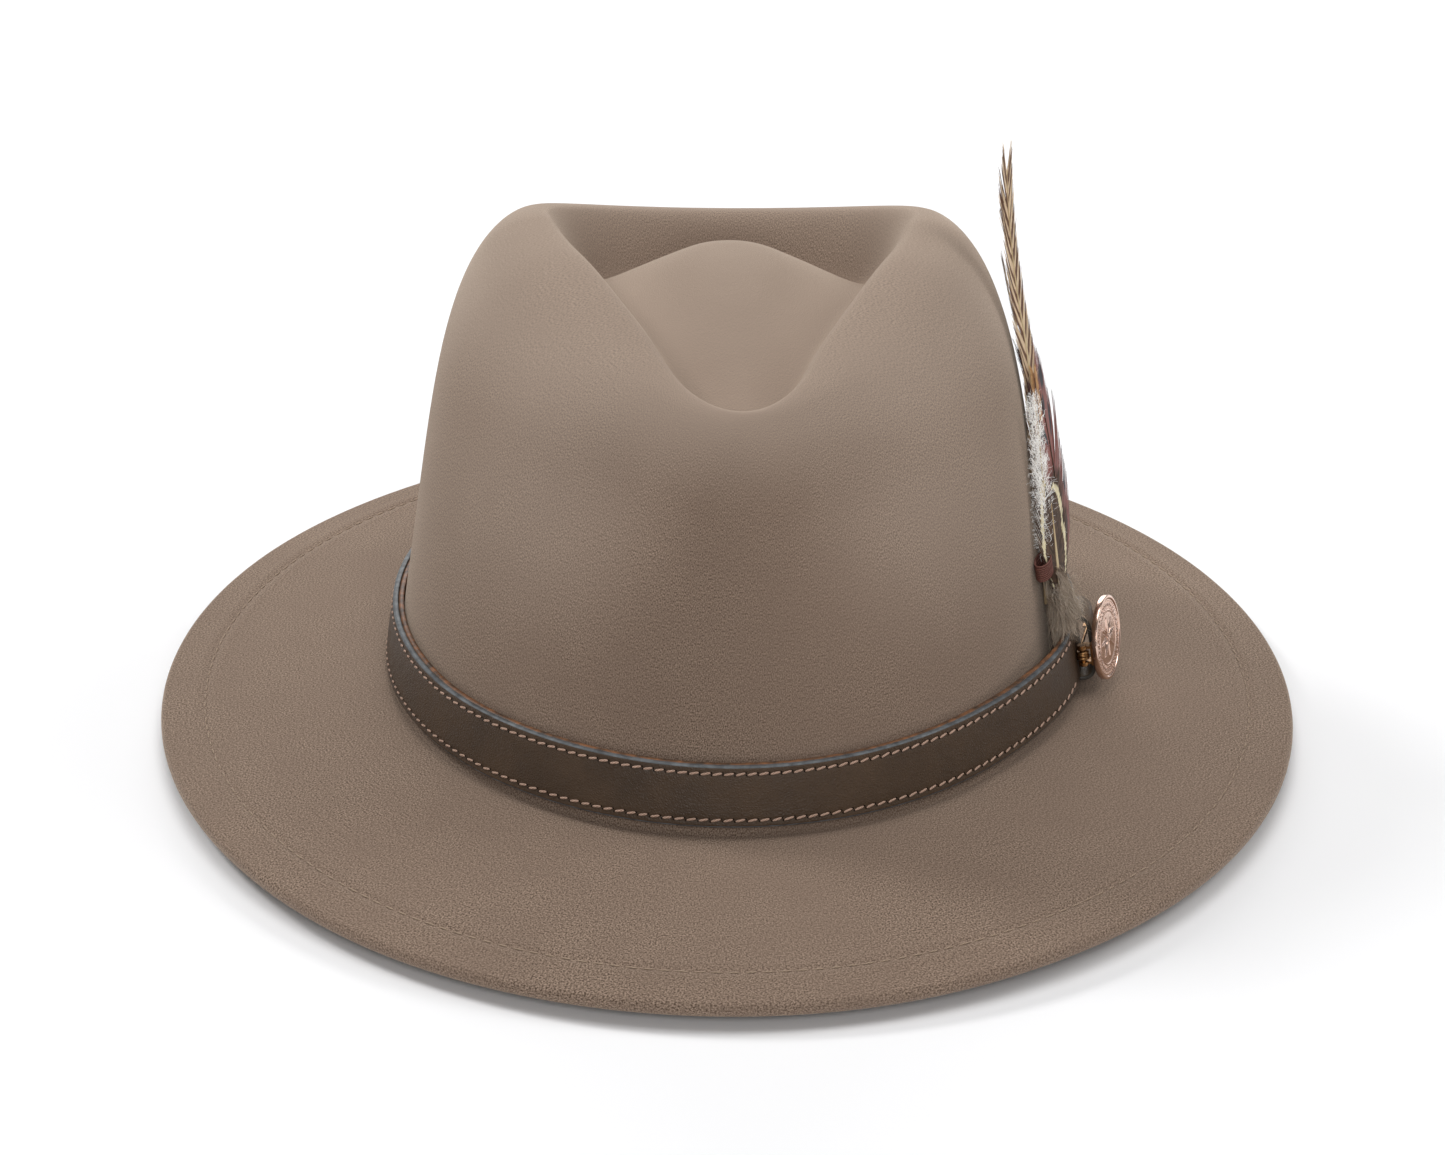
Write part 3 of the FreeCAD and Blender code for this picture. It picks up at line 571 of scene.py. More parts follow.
def in_brooch(points):
    """Points in the brooch's frame: the keeper's, turned a little in the tunnel about the pin."""
    points = np.asarray(points, float)
    c, s = math.cos(BROOCH_TURN), math.sin(BROOCH_TURN)
    out = points[..., 0] - TUNNEL_MIDDLE
    turned = np.stack([out * c + points[..., 1] * s, points[..., 1] * c - out * s, points[..., 2]], -1)
    return in_keeper(turned + np.array([2.0 * TUNNEL_MIDDLE - PIN_OUT, 0.0, 0.0]))


def slanted(points):
    """Points turned with the coin, about the upright line where its back meets the hinge."""
    c, s = math.cos(COIN_SLANT), math.sin(COIN_SLANT)
    out, back = points[..., 0] - COIN_OUT, points[..., 1] - COIL_BACK
    return np.stack([COIN_OUT + out * c + back * s, COIL_BACK + back * c - out * s, points[..., 2]], -1)


def on_crown(back, up, out):
    """Points by their way back round the hat and up the wall from the keeper, out from the felt."""
    back, up, out = as_arrays(back, up, out)
    height = KEEPER_LEVEL + up * 0.985
    angle = KEEPER_ANGLE + np.degrees(back / 88.0)
    level = (height - WALL_FOOT) / (crest(angle)[..., 2] - WALL_FOOT)
    held = np.minimum(level, 0.80)
    foot = wall(angle, held)
    here = foot + outward(wall, angle, held) * out[..., None]
    here += (foot - wall(angle, held - 0.05)) * (np.maximum(level - held, 0.0) / 0.05)[..., None]
    return tip_back(here)


# ---- small shapes ----
class Pile:
    """Collects grids of points that become one object."""

    def __init__(self):
        self.points = []
        self.faces = []
        self.uvs = []
        self.materials = []
        self.count = 0

    def add_grids(self, points, uvs, wrap=False, material=0):
        """points is (grids, rows, columns, 3); wrap joins the last column to the first."""
        points = np.asarray(points, float)
        grids, rows, columns = points.shape[:3]
        quads = grid_faces(rows, columns, wrap_columns=wrap)
        shifts = self.count + np.arange(grids)[:, None, None] * (rows * columns)
        self.faces.append((quads[None] + shifts).reshape(-1, 4))
        self.points.append(points.reshape(-1, 3))
        self.uvs.append(np.broadcast_to(uvs, points.shape[:3] + (2,)).reshape(-1, 2))
        self.materials.append(np.full(grids * len(quads), material))
        self.count += grids * rows * columns

    def make(self, name):
        return mesh_object(name, np.concatenate(self.points), [np.concatenate(self.faces)],
                           np.concatenate(self.uvs), True, np.concatenate(self.materials))


def one_grid(name, points, uvs, wrap=True):
    """An object from a single grid (rows, columns, 3)."""
    pile = Pile()
    pile.add_grids(points[None], uvs, wrap)
    return pile.make(name)


def grid_uvs(rows, columns, wrap=False):
    across = np.linspace(0.0, 1.0, columns + wrap)[:columns]
    return np.stack(np.meshgrid(np.linspace(0.0, 1.0, rows), across, indexing="ij"), -1)


def tubes(paths, radii, sides):
    """Tubes round paths (count, steps, 3); radii is broadcast to (count, steps)."""
    paths = np.asarray(paths, float)
    radii = np.broadcast_to(radii, paths.shape[:2])
    along = unit(np.gradient(paths, axis=1))
    start = np.where(np.abs(along[:, :1, 2:]) < 0.9, np.array([0.0, 0.0, 1.0]), np.array([1.0, 0.0, 0.0]))
    across = unit(np.cross(along[:, :1], start))
    frames = [across[:, 0]]
    for step in range(1, paths.shape[1]):
        turned = frames[-1] - along[:, step] * np.sum(frames[-1] * along[:, step], -1, keepdims=True)
        frames.append(unit(turned))
    across = np.stack(frames, 1)
    other = np.cross(along, across)
    turn = 2.0 * np.pi * np.arange(sides) / sides
    ring = across[:, :, None] * np.cos(turn)[:, None] + other[:, :, None] * np.sin(turn)[:, None]
    return paths[:, :, None] + ring * radii[:, :, None, None]


def add_tube(pile, path, radii, sides, material=0):
    """One tube round a path (steps, 3), added to the pile."""
    ring = tubes(path[None], np.asarray(radii)[None], sides)
    pile.add_grids(ring, grid_uvs(len(path), sides, True), True, material)


def lozenges(centres, along, out, length, width, height, steps=10, sides=8):
    """Rounded rice-shaped stitches at centres, with their own along and out directions."""
    part = (1.0 - np.cos(np.linspace(0.02, math.pi - 0.02, steps))) / 2.0
    shape = (1.0 - np.abs(2.0 * part - 1.0) ** 3.0) ** 0.5
    turn = 2.0 * np.pi * np.arange(sides) / sides
    side = np.cross(out, along)
    length, width, height = (np.broadcast_to(value, len(centres))[:, None, None, None]
                             for value in (length, width, height))
    lengthwise = (part - 0.5)[None, :, None, None] * length * along[:, None, None]
    round_side = (shape[:, None] * np.cos(turn))[None, ..., None] * width / 2.0 * side[:, None, None]
    round_out = (shape[:, None] * np.sin(turn))[None, ..., None] * height / 2.0 * out[:, None, None]
    return centres[:, None, None] + lengthwise + round_side + round_out


def discs(centres, along, out, length, width, sides=10):
    """Small flat ovals that lie on a surface, as two-ring grids."""
    turn = 2.0 * np.pi * np.arange(sides) / sides
    side = np.cross(out, along)
    rings = []
    for share in (0.02, 1.0):
        rings.append(centres[:, None] + share * (along[:, None] * (length / 2.0 * np.cos(turn))[:, None]
                                                 + side[:, None] * (width / 2.0 * np.sin(turn))[:, None]))
    return np.stack(rings, 1)


def rounded_box(half_wide, half_high, corner, steps=4):
    """A rounded rectangle's outline as (points, 2), counter-clockwise from the right."""
    outline = []
    for turn, x, y in ((0.0, 1, 1), (90.0, -1, 1), (180.0, -1, -1), (270.0, 1, -1)):
        for step in range(steps):
            c, s = cos_sin(turn + 90.0 * step / (steps - 1))
            outline.append((x * (half_wide - corner) + corner * c, y * (half_high - corner) + corner * s))
    return np.array(outline)


# ---- leather band ----
BAND_START = KEEPER_ANGLE - 3.0
BAND_END = KEEPER_ANGLE + 360.0 + 17.0
BAND_STITCH_START = BAND_START + 22.0
BAND_STITCH_END = KEEPER_ANGLE + 360.0 - 8.0
BAND_STITCHES = 172
UPPER_STITCHES = 30.8
LOWER_STITCHES = 19.0
FACE_COLUMNS = 41


def keeper_nearness(angle):
    """1 under the keeper and 0 away from it."""
    return 1.0 - smooth((np.abs(turn_from(angle, KEEPER_ANGLE)) - 7.0) / 17.0)


def band_thickness(angle):
    return BAND_LAYER * (1.0 - (1.0 - BAND_SKIVED) * keeper_nearness(angle))


def band_depths(angle, layer):
    """Where a strap layer starts and ends, out from the felt; the over end lies on top."""
    thick = band_thickness(angle)
    base = BAND_CLEAR + (KEEPER_CLEAR - BAND_CLEAR) * keeper_nearness(angle)
    lift = smooth((angle - (KEEPER_ANGLE + 322.0)) / 30.0) * 2.0 * (thick + LAYER_GAP)
    near = base + lift + layer * (thick + LAYER_GAP)
    return near, near + thick


def leather(name, dark, light, grain=1400.0, roughness=0.5):
    """Finished leather: fine pebbles, wrinkles and worn patches."""
    r = Recipe(name)
    place = r.coords("Object")
    cells = r.node("ShaderNodeTexVoronoi", feature="DISTANCE_TO_EDGE")
    cells.inputs["Scale"].default_value = grain
    r.link(place, cells.inputs["Vector"])
    pebbles = r.grey_ramp(cells.outputs["Distance"], 0.0, 0.35)
    patch = r.grey_ramp(r.noise(place, 60.0, 4.0, 0.6), 0.3, 0.7)
    colour = r.mix(patch, dark, light)
    colour = r.mix(r.times(pebbles, 0.35), r.mix(0.5, colour, dark), colour)
    rough = r.plus(r.times(patch, 0.16), roughness - 0.08)
    normal = r.bump(pebbles, 0.30, 0.0005)
    normal = r.bump(r.noise(place, 260.0, 4.0, 0.65), 0.30, 0.0008, normal)
    return r.finish(colour, rough, normal, Specular_IOR_Level=0.42)


def painted_edge(name, colour, light):
    """Edge paint on cut leather, a little uneven."""
    r = Recipe(name)
    place = r.coords("Object")
    tone = r.mix(r.grey_ramp(r.noise(place, 380.0, 3.0, 0.6), 0.35, 0.65), colour, light)
    return r.finish(tone, 0.5, r.bump(r.noise(place, 700.0, 3.0), 0.3, 0.0003), Specular_IOR_Level=0.4)


def thread_material(name, dark, light):
    """Twisted thread: plies run slantwise along the stitch's UV."""
    r = Recipe(name)
    plies = r.node("ShaderNodeTexWave", wave_type="BANDS", bands_direction="DIAGONAL")
    plies.inputs["Scale"].default_value = 2.2
    plies.inputs["Distortion"].default_value = 0.6
    r.link(r.coords("UV"), plies.inputs["Vector"])
    colour = r.mix(plies.outputs["Fac"], dark, light)
    colour = r.mix(r.times(r.noise(r.coords("Object"), 900.0), 0.4), colour, dark)
    return r.finish(colour, 0.7, r.bump(plies.outputs["Fac"], 0.35, 0.0002), Specular_IOR_Level=0.25)


def make_band_layer(layer, name, node, slot, materials):
    """A strap layer swept round the hat, the face layer slightly cushioned between its seams."""
    steps = 900
    angles = np.linspace(BAND_START, BAND_END, steps)
    near, far = band_depths(angles, layer)
    middle = BAND_BOTTOM + BAND_HEIGHT / 2.0
    half = BAND_HEIGHT / 2.0 - 5.0 * np.maximum(1.0 - (BAND_END - angles) / 4.0, 0.0) ** 2
    if layer == 1:
        half = half - 0.12
    rows = []
    kinds = []
    corner = 0.42
    for share in np.linspace(-1.0, 1.0, FACE_COLUMNS):
        height = middle + share * half
        edge = np.minimum((1.0 - abs(share)) * half / corner, 1.0)
        bevel = corner * (1.0 - np.sqrt(np.maximum(1.0 - (1.0 - edge) ** 2, 0.0)))
        face = bevel * (far - near) * 0.6
        if layer == 1:
            face = face + 0.14 * sum(bell(height - seam, 0.55) for seam in (LOWER_STITCHES, UPPER_STITCHES))
        if layer == 1 and abs(share) < 0.74:
            face = face - 0.10 * (1.0 - (share * 1.35) ** 4)
        rows.append(wall_at(angles, height, far - face))
        kinds.append(0)
    for depth in (0.45, 0.30, 0.12):
        rows.append(wall_at(angles, middle + half + 0.10, near + (far - near) * depth))
        kinds.append(1)
    for share in (1.0, 0.5, 0.0, -0.5, -1.0):
        rows.append(wall_at(angles, middle + share * half, near))
        kinds.append(0)
    for depth in (0.12, 0.30, 0.45):
        rows.append(wall_at(angles, middle - half - 0.10, near + (far - near) * depth))
        kinds.append(1)
    points = np.stack(rows, 1)
    count = points.shape[1]
    lengths = run_length(points[:, FACE_COLUMNS // 2]) * MM
    around = np.linspace(0.0, 0.034, count)
    uvs = np.stack(np.broadcast_arrays(lengths[:, None], around[None]), -1)
    quads = grid_faces(steps, count, wrap_columns=True)
    kinds = np.array(kinds)
    column = np.tile(np.arange(count), steps - 1)
    painted = (kinds[column] == 1) | (kinds[(column + 1) % count] == 1)
    edge_column = np.isin(column, (FACE_COLUMNS - 1, FACE_COLUMNS - 2, 0, count - 1))
    caps = [np.arange(count)[None], ((steps - 1) * count + np.arange(count))[None, ::-1]]
    face_materials = np.concatenate([(painted | edge_column).astype(int), [1, 1]])
    obj = mesh_object(name, points, [quads] + caps, uvs, True, face_materials)
    finish_piece(obj, "root", slot, node, *materials)


def band_point(angle, height):
    far = band_depths(angle, 1)[1]
    here = wall_at(angle, height, far - 0.10)
    return here, unit(here - wall_at(angle, height, far - 1.1))


def stitch_row(point_at, angles, lean, length, width, height, hole=0.0):
    """Stitches, and dark discs at their ends that paint the shade of the holes; lean is how far each one
    tips across the row.
    """
    here, out = point_at(angles)
    along = unit(point_at(angles + 0.3)[0] - point_at(angles - 0.3)[0])
    side = np.cross(out, along)
    lift = rng.uniform(-0.05, 0.05, len(angles))[:, None]
    direction = unit(along + side * (lean + rng.normal(0.0, 0.03, len(angles)))[:, None])
    sizes = length * (1.0 + rng.normal(0.0, 0.03, len(angles)))
    pile = Pile()
    bodies = lozenges(here + out * (0.12 + lift * 0.5), direction, out, sizes, width, height)
    pile.add_grids(bodies, grid_uvs(10, 8, True), wrap=True)
    # the dark discs are painted shade where the thread goes into its holes
    if hole:
        for end in (-0.5, 0.5):
            centres = here + direction * (sizes * end * 1.04)[:, None] + out * 0.16
            pile.add_grids(discs(centres, along, out, hole, hole * 0.8), 0.5, wrap=True, material=1)
    return pile


def stitch_angles(start, end, count):
    return start + (end - start) * (np.arange(count) + 0.5) / count


band_thread = thread_material("band_thread", (150, 118, 100), (206, 178, 160))
# near-black discs at the stitch ends: painted shade of the holes
hole_shade_material = Recipe("painted_hole_shade").finish((24, 17, 13), 0.9, None, Specular_IOR_Level=0.1)
band_leather = leather("band_leather", (59, 43, 28), (85, 64, 44))
backing_leather = leather("backing_leather", (96, 66, 44), (136, 94, 62), 900.0, 0.7)
blue_edge = painted_edge("blue_grey_edge", (64, 66, 68), (100, 104, 107))
tan_edge = painted_edge("tan_edge", (62, 46, 34), (132, 88, 56))
dark_edge = painted_edge("dark_edge", (50, 46, 42), (74, 70, 64))
make_band_layer(0, "hat_band_backing_leather", "hat_band_backing", "band_backing",
                [backing_leather, tan_edge])
make_band_layer(1, "hat_band_leather", "hat_band", "band_leather", [band_leather, blue_edge])
for node, level in (("band_stitching_lower", LOWER_STITCHES), ("band_stitching_upper", UPPER_STITCHES)):
    row = stitch_row(lambda angle, level=level: band_point(angle, level),
                     stitch_angles(BAND_STITCH_START, BAND_STITCH_END, BAND_STITCHES),
                     lean=0.22, length=2.55, width=0.62, height=0.42, hole=0.62)
    finish_piece(row.make(node + "_thread"), "root", "band_thread", node, band_thread, hole_shade_material)


# ---- brim stitching ----
def brim_point(angle):
    here = brim_top(angle, np.full_like(angle, STITCH_LINE))
    out = unit(np.cross(brim_top(angle + 0.5, STITCH_LINE) - brim_top(angle - 0.5, STITCH_LINE),
                        brim_top(angle, STITCH_LINE - 0.01) - brim_top(angle, STITCH_LINE + 0.01)))
    out = out * np.sign(out[..., 2:])
    return here - out * 0.33, out


brim_thread = thread_material("brim_thread", (128, 108, 90), (186, 166, 146))
brim_row = stitch_row(brim_point, stitch_angles(0.0, 360.0, STITCH_COUNT) + 180.0 / STITCH_COUNT,
                      lean=0.0, length=2.9, width=0.52, height=0.42)
finish_piece(brim_row.make("brim_edge_thread"), "root", "felt_thread", "brim_edge_stitching", brim_thread)


# ---- keeper loop ----
KEEPER_WIDTH = 13.0
KEEPER_THICK = 1.1


def keeper_path():
    """The middle line of the loop's leather in (out, up), counter-clockwise, and its outward normal."""
    low = STRAP_NEAR - 0.3 - KEEPER_THICK / 2.0
    high = TUNNEL_FAR + KEEPER_THICK / 2.0
    top = BAND_HEIGHT / 2.0 + 0.25 + KEEPER_THICK / 2.0
    outline = []
    corners = ((high, -top, 2.6, -90.0), (high, top, 2.6, 0.0),
               (low, top, 0.7, 90.0), (low, -top, 0.7, 180.0))
    for x, y, radius, turn in corners:
        centre_x = x - radius if x == high else x + radius
        centre_y = y - radius if y > 0.0 else y + radius
        for step in range(9):
            c, s = cos_sin(turn + 90.0 * step / 8.0)
            outline.append((centre_x + radius * c, centre_y + radius * s))
    outline = np.array(outline + outline[:1])
    lengths = run_length(outline)
    places = np.linspace(0.0, lengths[-1], 145)[:-1]
    path = np.stack([np.interp(places, lengths, outline[:, k]) for k in (0, 1)], -1)
    path[:, 0] += 0.35 * smooth((path[:, 0] - 8.0) / 2.0) * np.cos(np.pi * path[:, 1] / (2.0 * top))
    tangent = unit(np.roll(path, -1, 0) - np.roll(path, 1, 0))
    return path, np.stack([tangent[:, 1], -tangent[:, 0]], -1)


def make_keeper():
    path, normal = keeper_path()
    section = rounded_box(KEEPER_WIDTH / 2.0, KEEPER_THICK / 2.0, 0.38)
    flat = path[:, None] + normal[:, None] * section[None, :, 1:]
    back = np.broadcast_to(section[None, :, 0], flat.shape[:2])
    points = in_keeper(np.stack([flat[..., 0], back, flat[..., 1]], -1))
    rows, columns = points.shape[:2]
    points = np.concatenate([points, points[:1]])
    uvs = np.stack(np.broadcast_arrays(np.linspace(0.0, 0.045, rows + 1)[:, None],
                                       np.linspace(0.0, 0.028, columns)[None]), -1)
    quads = grid_faces(rows + 1, columns, wrap_columns=True)
    column = np.tile(np.arange(columns), rows)
    quad_back = (section[column] + section[(column + 1) % columns])[:, 0] / 2.0
    side = np.abs(quad_back) > KEEPER_WIDTH / 2.0 - 0.2
    obj = mesh_object("band_keeper_leather", points, [quads], uvs, True, side.astype(int))
    keeper_leather = leather("keeper_leather", (88, 70, 50), (116, 94, 70))
    finish_piece(obj, "root", "keeper_leather", "band_keeper", keeper_leather, dark_edge)


def make_keeper_stitching():
    face = TUNNEL_FAR + KEEPER_THICK + 0.33
    places = [(face, side * 4.9, -4.5 + 3.0 * i) for side in (-1.0, 1.0) for i in range(4)]
    centres = in_keeper(places)
    count = len(centres)
    pile = Pile()
    along = np.broadcast_to(K_UP, (count, 3))
    out = np.broadcast_to(K_OUT, (count, 3))
    pile.add_grids(lozenges(centres, along, out, 2.3, 0.55, 0.4), grid_uvs(10, 8, True), wrap=True)
    obj = pile.make("keeper_stitching_thread")
    finish_piece(obj, "root", "band_thread", "keeper_stitching", band_thread)


make_keeper()
make_keeper_stitching()


# ---- brooch ----
def metal(name, colour, worn, roughness):
    """Polished metal with fine scratches and a tarnish in patches."""
    r = Recipe(name)
    place = r.coords("Object")
    patch = r.grey_ramp(r.noise(place, 240.0, 4.0, 0.6), 0.35, 0.7)
    tone = r.mix(patch, colour, worn)
    rough = r.plus(r.times(patch, 0.18), roughness)
    return r.finish(tone, rough, r.bump(r.noise(place, 1600.0, 3.0), 0.12, 0.0002), Metallic=1.0)


gold_wire = metal("gold_wire", (176, 136, 92), (128, 92, 60), 0.22)
rose_gold = metal("rose_gold", (236, 206, 190), (214, 176, 156), 0.09)


def make_pin():
    """A coil of sprung wire that runs on as the straight pin."""
    turn = np.linspace(0.0, 3.25 * 2.0 * np.pi, 160)
    level = -1.22 + 0.86 * turn / (2.0 * np.pi)
    coil = np.stack([COIL_OUT - COIL_RADIUS * np.cos(turn), COIL_BACK + COIL_RADIUS * np.sin(turn),
                     np.minimum(level, 0.86)], -1)
    stem_end = CATCH_BACK + CATCH_LENGTH - 0.2
    stem_back = np.linspace(COIL_BACK, stem_end, 60)
    stem = np.stack([np.full(60, PIN_OUT), stem_back, np.zeros(60)], -1)
    pile = Pile()
    add_tube(pile, in_brooch(coil), 0.42, 12)
    taper = PIN_RADIUS * np.minimum((stem_end - stem_back) / 1.8 + 0.12, 1.0)
    add_tube(pile, in_brooch(stem), taper, 12)
    finish_piece(pile.make("brooch_pin_wire"), "root", "gold_wire", "brooch_pin", gold_wire)


def coin_height(radius, turn):
    """The struck face: a raised rim, a ring of beads, a band of small chevrons and a rosette."""
    rim = 0.30 * smooth((radius - 10.0) / 0.35)
    beads = 0.16 * np.maximum(np.cos(54.0 * turn), 0.0) * bell(radius - 9.45, 0.28)
    ring = 0.14 * bell(radius - 7.1, 0.18)
    slant = np.cos(36.0 * turn + 2.4 * np.abs(radius - 8.2))
    chevrons = 0.15 * smooth((slant - 0.1) / 0.35) * smooth((0.75 - np.abs(radius - 8.2)) / 0.15)
    petal = 0.5 + 0.5 * np.cos(8.0 * turn)
    reach = 2.4 + 3.6 * petal
    veins = 0.55 + 0.45 * np.cos(24.0 * turn) * smooth(radius / 3.0)
    rosette = 0.24 * smooth((reach - radius) / 0.7) * veins
    hub = 0.22 * smooth((1.4 - radius) / 0.4)
    return rim + beads + ring + chevrons + rosette + hub


def make_coin():
    turn = 2.0 * np.pi * np.arange(432) / 432
    bend = np.linspace(0.15, 1.0, 6) * np.pi / 2.0
    face = np.linspace(0.02, COIN_RADIUS - 0.5, 96)
    radius = np.concatenate([face, face[-1] + 0.45 * np.sin(bend)])
    height = COIN_THICK - 0.3 + coin_height(radius[:, None], turn[None])
    height[len(face):] -= 0.25 * (1.0 - np.cos(bend))[:, None]
    back_radius = np.array([11.06, 11.06, 10.95, 10.7, 6.0, 0.02])
    back_height = np.array([1.2, 0.3, 0.08, 0.0, 0.0, 0.0])
    radius = np.concatenate([radius, back_radius])
    height = np.concatenate([height, np.broadcast_to(back_height[:, None], (6, 432))])
    flat = np.stack([height, radius[:, None] * np.cos(turn), radius[:, None] * np.sin(turn)], -1)
    flat[..., 0] += COIN_OUT
    disc = one_grid("coin_disc_struck", in_brooch(slanted(flat))[::-1], grid_uvs(len(radius), 432, True))
    finish_piece(disc, "brooch", "rose_gold", "coin_disc", rose_gold)


make_pin()
make_coin()
for name in ("hinge_rivet", "coin_bracket", "catch_base", "catch_roller"):
    dress(name, gold_wire)


# ---- feathers ----
SPRAY_LEAN = 18.0
SPRAY_BACK = -7.0


class Feather:
    """A feather's own plane: across and along it in millimetres, laid on the crown."""

    def __init__(self, root, length, width, lean, near, far, bend, twist, cup=0.0, blunt=5.0):
        self.root = root
        self.length = length
        self.width = width
        self.lean = math.radians(lean)
        self.near = near
        self.far = far
        self.bend = bend
        self.twist = twist
        self.cup = cup
        self.blunt = blunt

    def place(self, across, along, lift=0.0):
        part = np.clip(along / self.length, 0.0, 1.15)
        c, s = math.cos(self.lean), math.sin(self.lean)
        back = SPRAY_BACK + self.root[0] + along * s + across * c
        up = self.root[1] + along * c - across * s
        out = self.near + (self.far - self.near) * part ** self.bend + lift
        out = out + self.twist * across * smooth(part / 0.25) + self.cup * np.abs(across) ** 1.6
        return on_crown(back, up, np.maximum(out, 0.15))

    def half_width(self, part):
        opened = 0.30 + 0.70 * smooth(part / 0.30)
        tip = np.sqrt(np.maximum(1.0 - part ** self.blunt, 0.0))
        return self.width / 2.0 * opened * tip * (1.0 - 0.25 * part)


def vane(pile, feather, pitch, ribbon, splits, loose, start=0.04, end=0.985):
    """Both sides of the vane as one ribbon per barb, gathered into locks that part at the splits."""
    steps = 7
    for side in (-1.0, 1.0):
        roots = np.arange(start * feather.length, end * feather.length, pitch)
        roots = roots + rng.normal(0.0, pitch * 0.12, len(roots))
        part = roots / feather.length
        locks = np.sort(rng.uniform(0.05, 0.95, splits))
        lock = np.searchsorted(locks, part)
        tilt = rng.normal(0.0, 2.2, splits + 1)[lock] + rng.normal(0.0, 0.5 + 6.0 * loose, len(roots))
        angle = np.radians(44.0 - 22.0 * part + tilt)
        uneven = 1.0 + rng.normal(0.0, 0.015 + 0.2 * loose, len(roots))
        reach = feather.half_width(part) / np.sin(angle) * uneven
        share = np.linspace(0.0, 1.0, steps)
        bow = 0.16 * reach[:, None] * share[None] ** 2
        across = side * (reach * np.sin(angle))[:, None] * (share - 0.10 * share ** 2)[None]
        along = roots[:, None] + (reach * np.cos(angle))[:, None] * share[None] + bow
        lift = rng.normal(0.0, 0.10 + 0.9 * loose, len(roots))[:, None] * share[None] ** 2
        lift = lift + rng.normal(0.0, 0.25, splits + 1)[lock][:, None] * share[None]
        half = ribbon / 2.0 * (1.0 - 0.75 * share ** 2)[None] * np.ones((len(roots), 1))
        edges = []
        for edge in (-1.0, 1.0):
            edges.append(feather.place(across - side * edge * half * np.cos(angle)[:, None],
                                       along + edge * half * np.sin(angle)[:, None], lift))
        points = np.stack(edges, 2)
        u = 0.5 + side * 0.5 * share[None, :, None] * np.ones((len(roots), 1, 2))
        v = part[:, None, None] * np.ones((1, steps, 2))
        pile.add_grids(points, np.stack([u, v], -1))


def rachis(pile, feather, thick, end=0.97):
    """The shaft, thinner towards its tip."""
    along = np.linspace(0.0, end * feather.length, 60)
    path = feather.place(np.zeros(60), along, 0.05)
    add_tube(pile, path, thick * (1.0 - 0.85 * along / feather.length), 8, 1)


def strands(pile, roots, directions, lengths, width, curl):
    """Loose barbs: thin ribbons from roots along directions, each with its own curl."""
    count, steps = len(roots), 9
    share = np.linspace(0.0, 1.0, steps)
    directions = unit(directions)
    side = unit(np.cross(directions, rng.normal(size=(count, 3))))
    other = np.cross(directions, side)
    phase = rng.uniform(0.0, 2.0 * np.pi, count)[:, None]
    turns = rng.uniform(0.5, 1.6, count)[:, None]
    swing = curl * lengths[:, None] * share[None] ** 1.5
    path = roots[:, None] + directions[:, None] * (lengths[:, None] * share[None])[..., None]
    path = path + side[:, None] * (swing * np.cos(phase + turns * 2.0 * np.pi * share))[..., None]
    path = path + other[:, None] * (swing * np.sin(phase + turns * 2.0 * np.pi * share))[..., None]
    tangent = unit(np.gradient(path, axis=1))
    across = unit(np.cross(tangent, np.roll(side, 1, 0)[:, None] + 0.1))
    half = width / 2.0 * (1.0 - 0.7 * share)[None, :, None]
    points = np.stack([path - across * half, path + across * half], 2)
    u = np.broadcast_to(share[None, :, None], (count, steps, 2))
    v = np.broadcast_to(rng.uniform(0.0, 1.0, count)[:, None, None], (count, steps, 2))
    pile.add_grids(points, np.stack([u, v], -1))


def feather_recipe(name):
    """A recipe with its UV's two values: over the vane from edge to edge, and along the feather."""
    r = Recipe(name)
    split = r.node("ShaderNodeSeparateXYZ")
    r.link(r.coords("UV"), split.inputs[0])
    return r, split.outputs[0], split.outputs[1]


def from_shaft(r, over):
    """0 at the shaft and 1 at either edge of the vane."""
    return r.times(r.math("ABSOLUTE", r.minus(over, 0.5)), 2.0)


def streaks(r, scale, low, high, size=4.0):
    """Fine streaks that run out along the barbs."""
    return r.grey_ramp(r.noise(r.coords("UV", scale=scale), size, 2.0), low, high)


def barred_material(name, pale, dark, bars, shift):
    """Pale barbs with dark bars that follow them, like a pheasant's tail."""
    r, _, along = feather_recipe(name)
    place = r.coords("UV", scale=(1.5, 14.0, 1.0))
    wobble = r.times(r.noise(place, 2.0, 3.0, 0.6), 0.55)
    place_on = r.plus(r.plus(along, shift), r.times(wobble, 0.04))
    wave = r.math("SINE", r.times(place_on, bars * 6.2832))
    band = r.grey_ramp(r.plus(r.times(wave, 0.5), r.times(wobble, 0.9)), 0.10, 0.40)
    fine = streaks(r, (4.0, 160.0, 1.0), 0.35, 0.70, 3.0)
    colour = r.mix(band, pale, dark)
    colour = r.mix(r.times(fine, 0.30), colour, r.mix(0.35, dark, pale))
    return r.finish(colour, 0.6, None, Specular_IOR_Level=0.3)


def spotted_material(name, ground, deep, spot):
    """Burnt red barbs with dark spots and fringes."""
    r, over, _ = feather_recipe(name)
    cells = r.node("ShaderNodeTexVoronoi")
    cells.inputs["Scale"].default_value = 1.0
    r.link(r.coords("UV", scale=(3.6, 9.5, 1.0)), cells.inputs["Vector"])
    spots = r.grey_ramp(cells.outputs["Distance"], 0.30, 0.40, 1.0, 0.0)
    tone = r.mix(r.grey_ramp(r.noise(r.coords("UV", scale=(2.0, 60.0, 1.0)), 3.0), 0.3, 0.7), ground, deep)
    colour = r.mix(spots, tone, spot)
    fringe = r.grey_ramp(from_shaft(r, over), 0.80, 0.97)
    colour = r.mix(r.times(fringe, 0.75), colour, spot)
    return r.finish(colour, 0.5, None, Specular_IOR_Level=0.4)


